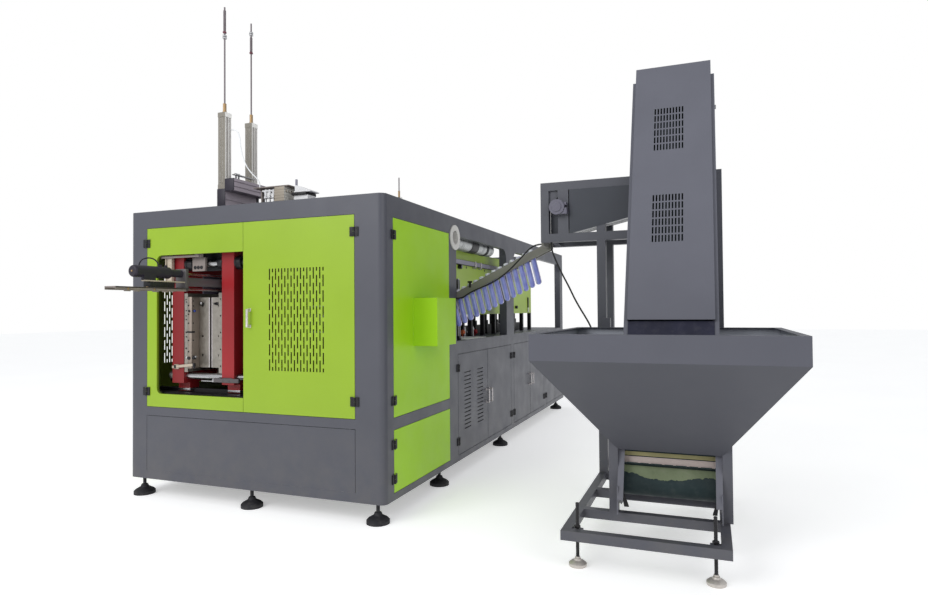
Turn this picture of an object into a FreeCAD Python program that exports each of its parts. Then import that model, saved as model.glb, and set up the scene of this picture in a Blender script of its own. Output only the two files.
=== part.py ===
import FreeCAD, Part
import math
import os

# Two-cavity stretch blow moulding line: the clamp block with its open oven bay, and beside it
# the free-standing preform feeder (bin, inclined cleated elevator, roller sorter and chute).
# Frame: origin on the floor under the middle front levelling foot, +X to the right along the
# front face, +Y from the front face towards the oven end, +Z up.  Millimetres.

V = FreeCAD.Vector

# ---- driving dimensions of the clamp block and the oven bay --------------------------------
HALF_WIDTH = 1070.0          # half of the machine's width
FRONT_SET_BACK = 60.0        # the front face lies this far ahead of the middle foot
BLOCK_LENGTH = 1221.0        # clamp block, along Y
BAY_LENGTH = 3949.0          # oven bay behind the clamp block
GROUND_CLEARANCE = 131.0     # floor to the underside of the sills
FRAME_TOP = 2093.0           # floor to the top of the top beams
TABLE_HEIGHT = 1097.0        # floor to the working table
TABLE_PLATE = 40.0
WALL = 50.0                  # depth of the frame's box sections
CORNER_RADIUS = 45.0         # rounded front corners
JOINT_GAP = 0.3              # seat clearance between bolted pieces
PANEL_GAP = 3.0              # slit around a door or a panel

FRONT_Y = -FRONT_SET_BACK    # front face, rear of the clamp block and rear end of the bay
BLOCK_REAR = FRONT_Y + BLOCK_LENGTH
REAR_Y = BLOCK_REAR + BAY_LENGTH

LEFT_POST = 170.0            # front view: widths of the two corner posts and the rails
RIGHT_POST = 214.0
TOP_RAIL = 127.0
SIDE_TOP_RAIL = 143.0
SIDE_FRONT_POST = 126.0
SIDE_REAR_POST = 156.0
SILL = 64.0
MID_RAIL_TOP = 660.0
MID_RAIL = 68.0
FRONT_DOOR_SPLIT = -24.0     # where the two front doors meet

DOOR_THICKNESS = 30.0
DOOR_SKIN = 3.0
DOOR_RETURN = 18.0           # width of a door's folded return
WINDOW_MARGIN = 92.0         # green border left of the window
WINDOW_BELOW = 95.0          # door height below the window
WINDOW_ABOVE = 201.0         # door height above the window
WINDOW_RADIUS = 40.0

HINGE_OFFSET = 8.0           # hinge axis ahead of the face it serves
HINGE_HEIGHT = 60.0
HINGE_LEAF = 24.0
HINGE_LEAF_THICKNESS = 7.0
HINGE_KNUCKLE = 6.5          # knuckle radius
HINGE_PLAY = 0.5
LOW_HINGE_INSET = 90.0       # the same on the low side door
HINGE_INSET = 110.0          # hinge centre from a door's lower and upper edge

SLOT_WIDTH = 10.0            # vent slots of the clamp guards
SLOT_LENGTH = 76.0
SLOT_PITCH_ACROSS = 25.0
SLOT_PITCH_UP = 102.0
VENT_COLUMNS = 18
VENT_ROWS = 7
VENT_FROM_SPLIT = 216.0      # first slot column from the door's free edge
VENT_BELOW = 290.0           # grid's lower edge above the door's lower edge
LEFT_VENT_COLUMNS = 12
LEFT_VENT_START = 190.0      # grid's distance from the left panel's front edge

HANDLE_HEIGHT = 125.0
HANDLE_WIDTH = 16.0
HANDLE_REACH = 32.0
HANDLE_FOOT = 14.0

SIDE_BOX_FROM_EDGE = 294.0   # terminal box on the side door
SIDE_BOX_LENGTH = 335.0
SIDE_BOX_REACH = 180.0
SIDE_BOX_HEIGHT = 330.0
SIDE_BOX_ABOVE = 444.0       # above the side door's lower edge

CABINET_DOOR_Z0 = 179.0      # base cabinet doors
CABINET_HEAD = 67.0          # closed height between the cabinet doors and the table
CABINET_DOOR_HEIGHT = TABLE_HEIGHT - TABLE_PLATE - CABINET_HEAD - CABINET_DOOR_Z0
CABINET_DOOR_THICKNESS = 22.0
CABINET_FIRST_POST = 24.0    # posts before, between and after the pairs of cabinet doors
CABINET_POST = 104.0
CABINET_LAST_POST = 39.0
FIRST_DOOR_WIDTH = 731.0
SECOND_DOOR_WIDTH = 630.0
FIRST_PAIR_Y = BLOCK_REAR + CABINET_FIRST_POST
SECOND_PAIR_Y = FIRST_PAIR_Y + 2 * FIRST_DOOR_WIDTH + CABINET_POST
THIRD_PAIR_Y = SECOND_PAIR_Y + 2 * SECOND_DOOR_WIDTH + CABINET_POST
CABINET_PAIR_STARTS = (FIRST_PAIR_Y, SECOND_PAIR_Y, THIRD_PAIR_Y)
CABINET_DOOR_WIDTHS = (FIRST_DOOR_WIDTH, SECOND_DOOR_WIDTH,
                       (REAR_Y - CABINET_LAST_POST - THIRD_PAIR_Y) / 2)
LOUVRE_ROWS = 15
LOUVRE_LENGTH = 150.0
LOUVRE_HEIGHT = 9.0
LOUVRE_PITCH = 33.0
LOUVRE_Z0 = 365.0

COLUMN_DEPTH = 75.0          # oven bay columns
MID_COLUMN_Y = 2515.0
MID_COLUMN = 250.0
REAR_COLUMN = 150.0
CROSS_BEAM = 60.0
GUSSET = 110.0

FOOT_RADIUS = 75.0
FOOT_STUD = 12.0
FOOT_INSET = 83.0            # front feet from the machine's side faces
FOOT_XS = (FOOT_INSET - HALF_WIDTH, 0.0, HALF_WIDTH - FOOT_INSET)
SIDE_FOOT_INSET = 68.0
SIDE_FOOT_X = HALF_WIDTH - SIDE_FOOT_INSET
FOOT_PLATE = 40.0            # half of a foot plate
LAST_FOOT_INSET = 180.0      # last feet from the rear end
FOOT_YS = (0.0, 945.0, 2475.0, REAR_Y - LAST_FOOT_INSET)

# ---- clamp -------------------------------------------------------------------------------
CLAMP_X = -450.0             # parting plane of the mould
CAVITY_YS = (240.0, 540.0)   # the two blowing stations
MOULD_GAP = 16.0             # the mould stands this far open
MOULD_DEPTH = 135.0          # one mould half, across X
BACKING_PLATE = 32.0
PLATEN = 108.0
PLATEN_Y0 = 15.0
PLATEN_Y1 = 765.0
PLATEN_Z0 = 830.0
PLATEN_Z1 = 1800.0
MOULD_Y0 = 95.0
MOULD_Y1 = 685.0
MOULD_Z0 = 941.0
MOULD_Z1 = 1456.0
BED_TOP = 760.0
BED_PLATE = 40.0
RAIL_HEIGHT = 24.0
RAIL_WIDTH = 34.0
RAIL_YS = (120.0, 660.0)
TIE_BAR_RADIUS = 24.0
TIE_BAR_YS = (60.0, 720.0)
TIE_BAR_ZS = (880.0, 1700.0)
BUSH_RADIUS = 44.0
BUSH_LENGTH = 46.0
END_PLATEN_X0 = 130.0
RUNNING_CLEARANCE = 0.4
BOTTLE_RADIUS = 100.0
BOTTLE_HEIGHT = 430.0
SHOULDER = 110.0             # height of a bottle's shoulder
RIB_PITCH = 55.0
NECK_RADIUS = 24.0
BASE_INSERT_RADIUS = 56.0
LIFT_ROD_RADIUS = 22.0
BASE_RECESS_RADIUS = 80.0
BASE_RECESS_HEIGHT = 42.0
CLAMP_BORE_RADIUS = 90.0
CLAMP_ROD_RADIUS = 32.0
CLAMP_BARREL = 340.0

# ---- stretching unit on the roof ------------------------------------------------------------
ROOF_OPENING_X = 170.0       # half width of the roof opening about the parting plane
ROOF_OPENING_Y0 = 150.0
ROOF_OPENING_Y1 = 630.0
LOWER_BEAM_WIDTH = 74.0
LOWER_BEAM_Z0 = 2146.0
LOWER_BEAM_Z1 = 2276.0
UPPER_BEAM_WIDTH = 84.0
UPPER_BEAM_Z0 = 2258.0
UPPER_BEAM_Z1 = 2350.0
BEAM_Y0 = 205.0
BEAM_Y1 = 585.0
CYLINDER_SIDE = 70.0
CYLINDER_TOP = 2858.0
CYLINDER_CAP = 34.0
GLAND_RADIUS = 13.0
GLAND_TOP = 2932.0
ROD_RADIUS = 7.0
ROD_TOP = 3674.0
ROD_TIP = 1690.0
ROD_COLLAR_Z = ROD_TOP - 240.0
BORE_CLEARANCE = 1.5
TIE_PLATE_Z = 2420.0

TRANSFER_X = 430.0           # small lifting cylinder of the preform transfer
TRANSFER_Y = 1415.0
TRANSFER_BODY_TOP = 2345.0
TRANSFER_GLAND_TOP = 2402.0
TRANSFER_ROD_TOP = 2520.0
TRANSFER_ROD_RADIUS = 5.0
TRANSFER_ROD_BELOW = 320.0   # rod length below its cylinder's top
VALVE_TOP = 2256.0
VALVE_X0 = 25.0
VALVE_X1 = 190.0
VALVE_Y0 = 212.0
VALVE_Y1 = 332.0
VALVE_PLATE = 10.0

# ---- bottle take-out arm --------------------------------------------------------------------
TAKEOUT_X = -350.0
TAKEOUT_WIDTH = 90.0
TAKEOUT_REACH = 794.0        # plate's tip ahead of the front face
TAKEOUT_BRACKET_Y = -290.0
TAKEOUT_BRACKET = 26.0
TAKEOUT_BRACKET_Z0 = 1490.0
TAKEOUT_BRACKET_Z1 = 1640.0
TAKEOUT_PLATE_Z = 1500.0
TAKEOUT_PLATE = 8.0
TAKEOUT_STRIP_ABOVE = 45.0   # cable strip above the shelf
TAKEOUT_HOLE = 5.0
TAKEOUT_BAR_Z = 1555.0
TAKEOUT_BAR_RADIUS = 30.0
TAKEOUT_ROD_ZS = (1505.0, 1605.0)
TAKEOUT_ROD_RADIUS = 8.0
TAKEOUT_ROD_END = 880.0
TAKEOUT_GUIDE_Y0 = 775.0
TAKEOUT_GUIDE = 60.0
TAKEOUT_MOTOR_RADIUS = 38.0
TAKEOUT_MOTOR_Z = 1607.0
TAKEOUT_MOTOR_Y0 = -676.0
TAKEOUT_MOTOR_LENGTH = 280.0
LEAD_RADIUS = 4.5

# ---- oven bay ---------------------------------------------------------------------------------
OVEN_INSET = 200.0           # tunnel from the machine's right side
OVEN_X1 = HALF_WIDTH - OVEN_INSET
OVEN_DEPTH = 420.0
OVEN_Y0 = 1330.0
OVEN_FROM_REAR = 925.0
OVEN_Y1 = REAR_Y - OVEN_FROM_REAR
OVEN_Z0 = 1305.0
OVEN_Z1 = 1890.0
OVEN_SKIN = 4.0
OVEN_LEG = 40.0
OVEN_BAYS = 8
OVEN_RAIL_Z = 1780.0
RING_Y = 1128.0
RING_Z = 1930.0
RING_RADIUS = 100.0
RING_THICKNESS = 8.0
DUCT_RADIUS = 64.0
DUCT_WALL = 3.0
DUCT_RIB = 5.0
DUCT_PITCH = 40.0
DUCT_RIBS = 28
DUCT_INSET = 125.0
DUCT_X = HALF_WIDTH - DUCT_INSET
DUCT_Y0 = 1205.0

# ---- preform feeder ---------------------------------------------------------------------------
FEEDER_FROM_SIDE = 1160.0    # base frame, from the machine's right side
FEEDER_X0 = HALF_WIDTH + FEEDER_FROM_SIDE
FEEDER_WIDTH = 828.0
FEEDER_X1 = FEEDER_X0 + FEEDER_WIDTH
FEEDER_Y0 = -310.0
FEEDER_Y1 = 1375.0
FEEDER_Z0 = 150.0
FEEDER_TUBE = 50.0
FEEDER_CROSS_YS = (87.0, 512.0)
COLUMN_TUBE = 60.0
COLUMN_Y = 949.0
SORTER_OVERHANG = 405.0      # sorter frame, left of the base frame
SORTER_X0 = FEEDER_X0 - SORTER_OVERHANG
SORTER_Z0 = 1838.0
SORTER_Z1 = 2273.0
SORTER_POST = 77.0
SORTER_POST_INSET = 128.0
SORTER_POST_X = SORTER_X0 + SORTER_POST_INSET
FEEDER_FOOT_RADIUS = 55.0
FEEDER_ROD_RADIUS = 9.0
FEEDER_ROD_TOP = 330.0
FEEDER_FOOT_INSET = 75.0
FOOT_LUG = 27.0              # half of a foot's lug
ENTRY_BOX_Z1 = 1148.0        # top of the cable entry box behind the bin
JUNCTION_Z0 = 1215.0         # junction block on the front column

BIN_OVERHANG = 123.0         # bin's rim, beyond the base frame
BIN_X0 = FEEDER_X0 - BIN_OVERHANG
BIN_WIDTH = 1281.0
BIN_X1 = BIN_X0 + BIN_WIDTH
BIN_Y0 = -448.0
BIN_Y1 = 845.0
BIN_TOP = 1223.0
BIN_BAND = 135.0
BIN_LIP = 42.0
BIN_SHEET = 4.0
BIN_BOTTOM = 555.0
BIN_FOOT_Y0 = 95.0           # funnel's lower rectangle
BIN_FOOT_Y1 = 460.0

TOWER_INSET = 245.0          # elevator casing's left side, from the base frame's
TOWER_X0 = FEEDER_X0 + TOWER_INSET
TOWER_WIDTH = 548.0
TOWER_LEAN = 22.66           # degrees off the vertical
TOWER_FOOT_Y = 20.0          # front plane where it meets the height below
TOWER_FOOT_Z = 290.0
TOWER_TOP = 2985.0
TOWER_DEPTH = 290.0
CHANNEL_FLANGE = 34.0
CHANNEL_SHEET = 5.0
COVER_INSET = 22.0
COVER_START = 1272.0         # height of the cover's lower edge
COVER_END = 3078.0
COVER_DEPTH = 26.0
COVER_SHEET = 3.0
GRILLE_COLUMNS = 10
GRILLE_ROWS = 6
GRILLE_SLOT = 10.0
GRILLE_SLOT_HEIGHT = 49.0
GRILLE_PITCH_ACROSS = 20.0
GRILLE_PITCH_UP = 60.0
GRILLE_INSET = 157.0
GRILLE_X0 = TOWER_X0 + GRILLE_INSET
GRILLE_HEIGHTS = (1762.0, 2410.0)
DRUM_RADIUS = 80.0
DRUM_LOW = 140.0             # drum axes, along the casing from its foot
DRUM_HIGH = 2750.0
DRUM_BACK = 150.0            # drum axes, behind the casing's front plane
BELT_THICKNESS = 5.0
CLEAT_HEIGHT = 42.0
CLEAT_THICKNESS = 6.0
CLEATS = 26
SHAFT_RADIUS = 15.0
BELT_SIDE_GAP = 8.0
CLEAT_SIDE = 10.0
CLEAT_NOTCH = 14.0
CLEAT_PHASE = 0.35
BACK_START = 40.0            # the casing's back sheet starts above its foot
CASING_BOTTOM_Z = 215.0
FLAP_LENGTH = 230.0
FLAP_THICKNESS = 5.0
GEARBOX_WIDTH = 46.0
GEARBOX_RADIUS = 52.0
MOTOR_REACH = 190.0

CHUTE_Y = 1215.0
CHUTE_SLOPE = 26.0
CHUTE_INSET = 85.0           # chute's lower end, inside the machine's side face
CHUTE_X0 = HALF_WIDTH - CHUTE_INSET
CHUTE_INTO_SORTER = 17.0
CHUTE_X1 = SORTER_X0 + CHUTE_INTO_SORTER
CHUTE_Z_AT_FACE = 1496.0     # rail top where the chute passes the machine's side face
CHUTE_RAIL_HEIGHT = 58.0
CHUTE_RAIL = 12.0
CHUTE_GAP = 48.0
PREFORMS = 14
PREFORM_PITCH = 51.3
PREFORM_INSET = 58.0
PREFORM_FIRST_X = HALF_WIDTH - PREFORM_INSET
PREFORM_RADIUS = 21.5
PREFORM_LENGTH = 262.0
PREFORM_RING_RADIUS = 27.5
PREFORM_LEAN = 14.0
PREFORM_NECK_STEP = 4.0
PREFORM_LIFT = 0.4
CHUTE_POST_INSET = 5.0
CHUTE_POST_X = CHUTE_X0 + CHUTE_POST_INSET
CHUTE_BRACKET = 12.0

ROLLER_SLOPE = 12.7
ROLLER_RADIUS = 27.0
ROLLER_LENGTH = 1060.0
ROLLER_INSET = 75.0
ROLLER_X0 = SORTER_X0 + ROLLER_INSET
ROLLER_Z0 = 1915.0
ROLLER_HALF_GAP = 50.0
TROUGH_SHEET = 3.0
JOURNAL_RADIUS = 12.0
JOURNAL_LENGTH = 24.0
END_PLATE = 6.0
END_PLATE_GAP = 8.0
PANEL_BELOW = 22.0           # trough wall's lower edge under the roller axis
SLOT_HALF = 32.0
TROUGH_REAR_PLATE_Y0 = 1139.0
BLOWER_INSET = 131.0
BLOWER_X = SORTER_X0 + BLOWER_INSET
BLOWER_Z = 2084.0
BLOWER_RADIUS = 55.0
BLOWER_DEPTH = 60.0

CABLE_RADIUS = 6.0
HOSE_RADIUS = 4.5

# ---- derived places -----------------------------------------------------------------------------
BOTTOM_Z = GROUND_CLEARANCE
DOOR_X0 = -HALF_WIDTH + LEFT_POST
DOOR_X1 = HALF_WIDTH - RIGHT_POST
DOOR_Z0 = MID_RAIL_TOP
DOOR_Z1 = FRAME_TOP - TOP_RAIL
LOWER_Z0 = BOTTOM_Z + SILL
LOWER_Z1 = MID_RAIL_TOP - MID_RAIL
SIDE_LOWER_Z0 = LOWER_Z0 - 16
SIDE_LOWER_Z1 = LOWER_Z1 - 13
SIDE_Y0 = FRONT_Y + SIDE_FRONT_POST
SIDE_Y1 = BLOCK_REAR - SIDE_REAR_POST
SIDE_Z1 = FRAME_TOP - SIDE_TOP_RAIL
INNER = HALF_WIDTH - WALL
CYLINDER_BASE = LOWER_BEAM_Z1 + JOINT_GAP
LEAN_RAD = math.radians(TOWER_LEAN)
TOWER_X1 = TOWER_X0 + TOWER_WIDTH
TOWER_SPAN = (TOWER_TOP - TOWER_FOOT_Z) / math.cos(LEAN_RAD)


# ---- small tools --------------------------------------------------------------------------------
def box(x0, x1, y0, y1, z0, z1):
    return Part.makeBox(x1 - x0, y1 - y0, z1 - z0, V(x0, y0, z0))


def rod(start, direction, radius, length):
    return Part.makeCylinder(radius, length, V(*start), V(*direction))


def fused(shapes):
    if len(shapes) == 1:
        return shapes[0]
    return shapes[0].multiFuse(shapes[1:]).removeSplitter()


def cut(shape, tools):
    return shape.cut(Part.Compound(list(tools))) if tools else shape


def slab(points, direction):
    """A flat outline swept along a direction."""
    outline = Part.makePolygon([V(*p) for p in points] + [V(*points[0])])
    return Part.Face(outline).extrude(V(*direction))


def only_solid(shape):
    return shape.Solids[0] if len(shape.Solids) == 1 else Part.Compound(shape.Solids)


def write(node, shape):
    shape = only_solid(shape)
    for solid in shape.Solids:
        if not solid.isValid():
            print("not valid:", node)
    shape.exportStep("parts/%s.step" % node)
    print("%-22s solids %2d  volume %.4f m3" % (node, len(shape.Solids), shape.Volume / 1e9))


def bar_tube(points, radius):
    """A round cord: straight runs joined by arcs as large as the runs allow."""
    points = [V(*p) for p in points]
    edges = []
    here = points[0]
    radii = []
    for before, corner, after in zip(points, points[1:], points[2:]):
        a = (before - corner)
        b = (after - corner)
        shorter = 0.45 * min(a.Length, b.Length)
        a.normalize()
        b.normalize()
        turn = math.pi - a.getAngle(b)
        bend = shorter / math.tan(turn / 2)
        radii.append(bend)
        start = corner + a * shorter
        end = corner + b * shorter
        middle_way = (a + b)
        middle_way.normalize()
        middle = corner + middle_way * (math.hypot(bend, shorter) - bend)
        edges.append(Part.LineSegment(here, start).toShape())
        edges.append(Part.Arc(start, middle, end).toShape())
        here = end
    edges.append(Part.LineSegment(here, points[-1]).toShape())
    path = Part.Wire(edges)
    ring = Part.Wire([Part.makeCircle(radius, points[0], points[1] - points[0])])
    tube = path.makePipeShell([ring], True, True)
    print("  cord: length %.0f, smallest radius %.0f, volume ratio %.4f" % (
        path.Length, min(radii), tube.Volume / (math.pi * radius ** 2 * path.Length)))
    return tube


# ---- clamp block: frame, guards and doors ----------------------------------------------------------
def grown(gap, x0, x1, z0, z1):
    return x0 - gap, x1 + gap, z0 - gap, z1 + gap


def duct_hole():
    """Clearance hole for the extraction pipe through the side wall."""
    return rod((HALF_WIDTH + 10, RING_Y, RING_Z), (-1, 0, 0), DUCT_RADIUS + 4, WALL + 20)


def front_frame():
    shell = box(-HALF_WIDTH, HALF_WIDTH, FRONT_Y, BLOCK_REAR, BOTTOM_Z, FRAME_TOP)
    corners = [e for e in shell.Edges
               if abs(e.BoundBox.ZLength - (FRAME_TOP - BOTTOM_Z)) < 1 and e.BoundBox.YMax < FRONT_Y + 1]
    shell = shell.makeFillet(CORNER_RADIUS, corners)
    far = 2 * HALF_WIDTH
    x0, x1, z0, z1 = grown(PANEL_GAP, DOOR_X0, DOOR_X1, DOOR_Z0, DOOR_Z1)
    lx0, lx1, lz0, lz1 = grown(PANEL_GAP, DOOR_X0, DOOR_X1, LOWER_Z0, LOWER_Z1)
    sy0, sy1, sz0, sz1 = grown(PANEL_GAP, SIDE_Y0, SIDE_Y1, DOOR_Z0, SIDE_Z1)
    openings = [
        box(-INNER, INNER, FRONT_Y + WALL, far, BOTTOM_Z - 1, FRAME_TOP - WALL),
        box(x0, x1, FRONT_Y - 60, FRONT_Y + WALL + 1, z0, z1),
        box(lx0, lx1, FRONT_Y - 60, FRONT_Y + WALL + 1, lz0, lz1),
        box(-far, far, sy0, sy1, sz0, sz1),
        box(-far, far, sy0, sy1, SIDE_LOWER_Z0 - PANEL_GAP, SIDE_LOWER_Z1 + PANEL_GAP),
        box(CLAMP_X - ROOF_OPENING_X, CLAMP_X + ROOF_OPENING_X, ROOF_OPENING_Y0, ROOF_OPENING_Y1,
            FRAME_TOP - WALL - 1, FRAME_TOP + 1),
        duct_hole(),
    ]
    return fused([cut(shell, openings)] + foot_plates(FOOT_YS[1:2]))


def slot_grid(across, up, columns, rows, place):
    """Staggered vertical slots; odd columns start and end with short ones."""
    slots = []
    top = up + (rows - 1) * SLOT_PITCH_UP + SLOT_LENGTH
    for column in range(columns):
        a = across + column * SLOT_PITCH_ACROSS
        shift = SLOT_PITCH_UP / 2 if column % 2 else 0
        for row in range(rows + column % 2):
            low = max(up, up + row * SLOT_PITCH_UP - shift)
            high = min(top, up + row * SLOT_PITCH_UP - shift + SLOT_LENGTH)
            slots.append(place(a, a + SLOT_WIDTH, low, high))
    return slots


def hinge_leaf(axis, toward, face, centre, knuckle_up):
    """One hinge half: a leaf on the face and half of the knuckle, in the plane of a front door."""
    x, y = axis
    half = HINGE_HEIGHT / 2
    z0 = centre if knuckle_up else centre - half
    near = HINGE_KNUCKLE + HINGE_PLAY
    leaf_x = sorted((x + toward * near, x + toward * (near + HINGE_LEAF)))
    leaf = box(leaf_x[0], leaf_x[1], face - HINGE_LEAF_THICKNESS, face, centre - half, centre + half)
    arm_x = sorted((x, x + toward * (near + 1)))
    arm = box(arm_x[0], arm_x[1], y - HINGE_KNUCKLE / 2, y + HINGE_KNUCKLE, z0 + HINGE_PLAY,
              z0 + half - HINGE_PLAY)
    knuckle = rod((x, y, z0 + HINGE_PLAY), (0, 0, 1), HINGE_KNUCKLE, half - 2 * HINGE_PLAY)
    return fused([leaf, arm, knuckle])


def front_door_axis(side):
    edge = DOOR_X0 if side < 0 else DOOR_X1
    return edge + side * PANEL_GAP / 2, FRONT_Y - HINGE_OFFSET


def door_hinge_heights(z0, z1):
    return z0 + HINGE_INSET, z1 - HINGE_INSET


def pan(x0, x1, z0, z1):
    """A folded front door: a skin with returns, open at the back."""
    y0, y1 = FRONT_Y, FRONT_Y + DOOR_THICKNESS
    body = box(x0, x1, y0, y1, z0, z1)
    hollow = box(x0 + DOOR_RETURN, x1 - DOOR_RETURN, y0 + DOOR_SKIN, y1 + 1,
                 z0 + DOOR_RETURN, z1 - DOOR_RETURN)
    return body, hollow


def window_solid(margin):
    """The sight window, open to the left door's free edge, grown by a margin."""
    x0 = DOOR_X0 + WINDOW_MARGIN - margin
    x1 = FRONT_DOOR_SPLIT + 50
    z0 = DOOR_Z0 + WINDOW_BELOW - margin
    z1 = DOOR_Z1 - WINDOW_ABOVE + margin
    body = box(x0, x1, FRONT_Y - 5, FRONT_Y + DOOR_THICKNESS + 5, z0, z1)
    edges = [e for e in body.Edges if e.BoundBox.YLength > 10 and e.BoundBox.XMax < x0 + 1]
    return body.makeFillet(WINDOW_RADIUS, edges)


def front_left_door():
    body, hollow = pan(DOOR_X0, FRONT_DOOR_SPLIT - 1.5, DOOR_Z0, DOOR_Z1)
    hollow = hollow.cut(window_solid(DOOR_RETURN))
    axis = front_door_axis(-1)
    leaves = [hinge_leaf(axis, 1, FRONT_Y, z, True) for z in door_hinge_heights(DOOR_Z0, DOOR_Z1)]
    return fused([cut(body, [hollow, window_solid(0)])] + leaves)


def pull_handle(x, y, z, facing):
    """A bow handle that stands off a face, as a square bar bent to two feet."""
    z1 = z + HANDLE_HEIGHT
    if facing == "front":
        bar = box(x, x + HANDLE_WIDTH, y - HANDLE_REACH, y - HANDLE_REACH + HANDLE_WIDTH / 2, z, z1)
        feet = [box(x, x + HANDLE_WIDTH, y - HANDLE_REACH, y, a, a + HANDLE_FOOT)
                for a in (z, z1 - HANDLE_FOOT)]
    else:
        bar = box(x + HANDLE_REACH - HANDLE_WIDTH / 2, x + HANDLE_REACH, y, y + HANDLE_WIDTH, z, z1)
        feet = [box(x, x + HANDLE_REACH, y, y + HANDLE_WIDTH, a, a + HANDLE_FOOT)
                for a in (z, z1 - HANDLE_FOOT)]
    return [bar] + feet


def front_right_door():
    x0 = FRONT_DOOR_SPLIT + 1.5
    body, hollow = pan(x0, DOOR_X1, DOOR_Z0, DOOR_Z1)
    slots = slot_grid(FRONT_DOOR_SPLIT + VENT_FROM_SPLIT, DOOR_Z0 + VENT_BELOW, VENT_COLUMNS, VENT_ROWS,
                      lambda a, b, low, high: box(a, b, FRONT_Y - 1, FRONT_Y + DOOR_SKIN + 1, low, high))
    axis = front_door_axis(1)
    leaves = [hinge_leaf(axis, -1, FRONT_Y, z, True) for z in door_hinge_heights(DOOR_Z0, DOOR_Z1)]
    handle = pull_handle(FRONT_DOOR_SPLIT + 48, FRONT_Y, DOOR_Z0 + 582, "front")
    return fused([cut(body, [hollow] + slots)] + leaves + handle)


def turned_to_side(shape, face_x=HALF_WIDTH):
    """Take a piece drawn for the front face round to the right side face."""
    shape = shape.copy()
    shape.rotate(V(0, 0, 0), V(0, 0, 1), 90)
    shape.translate(V(face_x + FRONT_Y, 0, 0))
    return shape


def side_door(y0, y1, z0, z1, thickness, inset, extra, hinge_edge="low"):
    """A folded door in the right side face, with its hinge leaves."""
    body = box(y0, y1, FRONT_Y, FRONT_Y + thickness, z0, z1)
    hollow = box(y0 + DOOR_RETURN, y1 - DOOR_RETURN, FRONT_Y + DOOR_SKIN, FRONT_Y + thickness + 1,
                 z0 + DOOR_RETURN, z1 - DOOR_RETURN)
    toward = 1 if hinge_edge == "low" else -1
    axis_at = (y0 if toward > 0 else y1) - toward * PANEL_GAP / 2
    leaves = [hinge_leaf((axis_at, FRONT_Y - HINGE_OFFSET), toward, FRONT_Y, z, True)
              for z in (z0 + inset, z1 - inset)]
    return turned_to_side(fused([cut(body, [hollow])] + leaves + extra))


def side_upper_door():
    y0 = SIDE_Y0 + SIDE_BOX_FROM_EDGE
    z0 = DOOR_Z0 + SIDE_BOX_ABOVE
    terminal_box = box(y0, y0 + SIDE_BOX_LENGTH, FRONT_Y - SIDE_BOX_REACH, FRONT_Y + DOOR_SKIN,
                       z0, z0 + SIDE_BOX_HEIGHT)
    return side_door(SIDE_Y0, SIDE_Y1, DOOR_Z0, SIDE_Z1, DOOR_THICKNESS, HINGE_INSET, [terminal_box])


def side_lower_door():
    return side_door(SIDE_Y0, SIDE_Y1, SIDE_LOWER_Z0, SIDE_LOWER_Z1, DOOR_THICKNESS, LOW_HINGE_INSET,
                     [])


def cabinet_door_spans():
    spans = []
    for start, width in zip(CABINET_PAIR_STARTS, CABINET_DOOR_WIDTHS):
        spans.append((start, start + width - PANEL_GAP / 2, "low"))
        spans.append((start + width + PANEL_GAP / 2, start + 2 * width, "high"))
    return spans


def cabinet_door(number):
    y0, y1, hinge_edge = cabinet_door_spans()[number]
    z0, z1 = CABINET_DOOR_Z0, CABINET_DOOR_Z0 + CABINET_DOOR_HEIGHT
    handle_y = y1 - 50 if hinge_edge == "low" else y0 + 34
    handle = pull_handle(handle_y, FRONT_Y, z0 + 330, "front")
    door = side_door(y0, y1, z0, z1, CABINET_DOOR_THICKNESS, HINGE_INSET, handle, hinge_edge)
    if number:
        return door
    louvres = []
    for a in (y0 + 138, y0 + 451):
        louvres += [box(HALF_WIDTH - DOOR_SKIN - 1, HALF_WIDTH + 1, a, a + LOUVRE_LENGTH,
                        LOUVRE_Z0 + i * LOUVRE_PITCH, LOUVRE_Z0 + i * LOUVRE_PITCH + LOUVRE_HEIGHT)
                    for i in range(LOUVRE_ROWS)]
    return cut(door, louvres)


def fixed_leaves():
    """The frame's halves of every hinge."""
    leaves = []
    for side in (-1, 1):
        axis = front_door_axis(side)
        leaves += [hinge_leaf(axis, side, FRONT_Y - JOINT_GAP, z, False)
                   for z in door_hinge_heights(DOOR_Z0, DOOR_Z1)]
    z_low, z_high = SIDE_LOWER_Z0, SIDE_LOWER_Z1
    rows = [(SIDE_Y0, "low", DOOR_Z0, SIDE_Z1, HINGE_INSET), (SIDE_Y0, "low", z_low, z_high, LOW_HINGE_INSET)]
    for y0, y1, hinge_edge in cabinet_door_spans():
        z1 = CABINET_DOOR_Z0 + CABINET_DOOR_HEIGHT
        rows.append((y0 if hinge_edge == "low" else y1, hinge_edge, CABINET_DOOR_Z0, z1, HINGE_INSET))
    for edge, hinge_edge, z0, z1, inset in rows:
        toward = 1 if hinge_edge == "low" else -1
        axis = (edge - toward * PANEL_GAP / 2, FRONT_Y - HINGE_OFFSET)
        leaves += [turned_to_side(hinge_leaf(axis, -toward, FRONT_Y - JOINT_GAP, z, False))
                   for z in (z0 + inset, z1 - inset)]
    return Part.Compound(leaves)


def front_lower_panel():
    body, hollow = pan(DOOR_X0, DOOR_X1, LOWER_Z0 - PANEL_GAP + JOINT_GAP, LOWER_Z1)
    return cut(body, [hollow])


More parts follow.
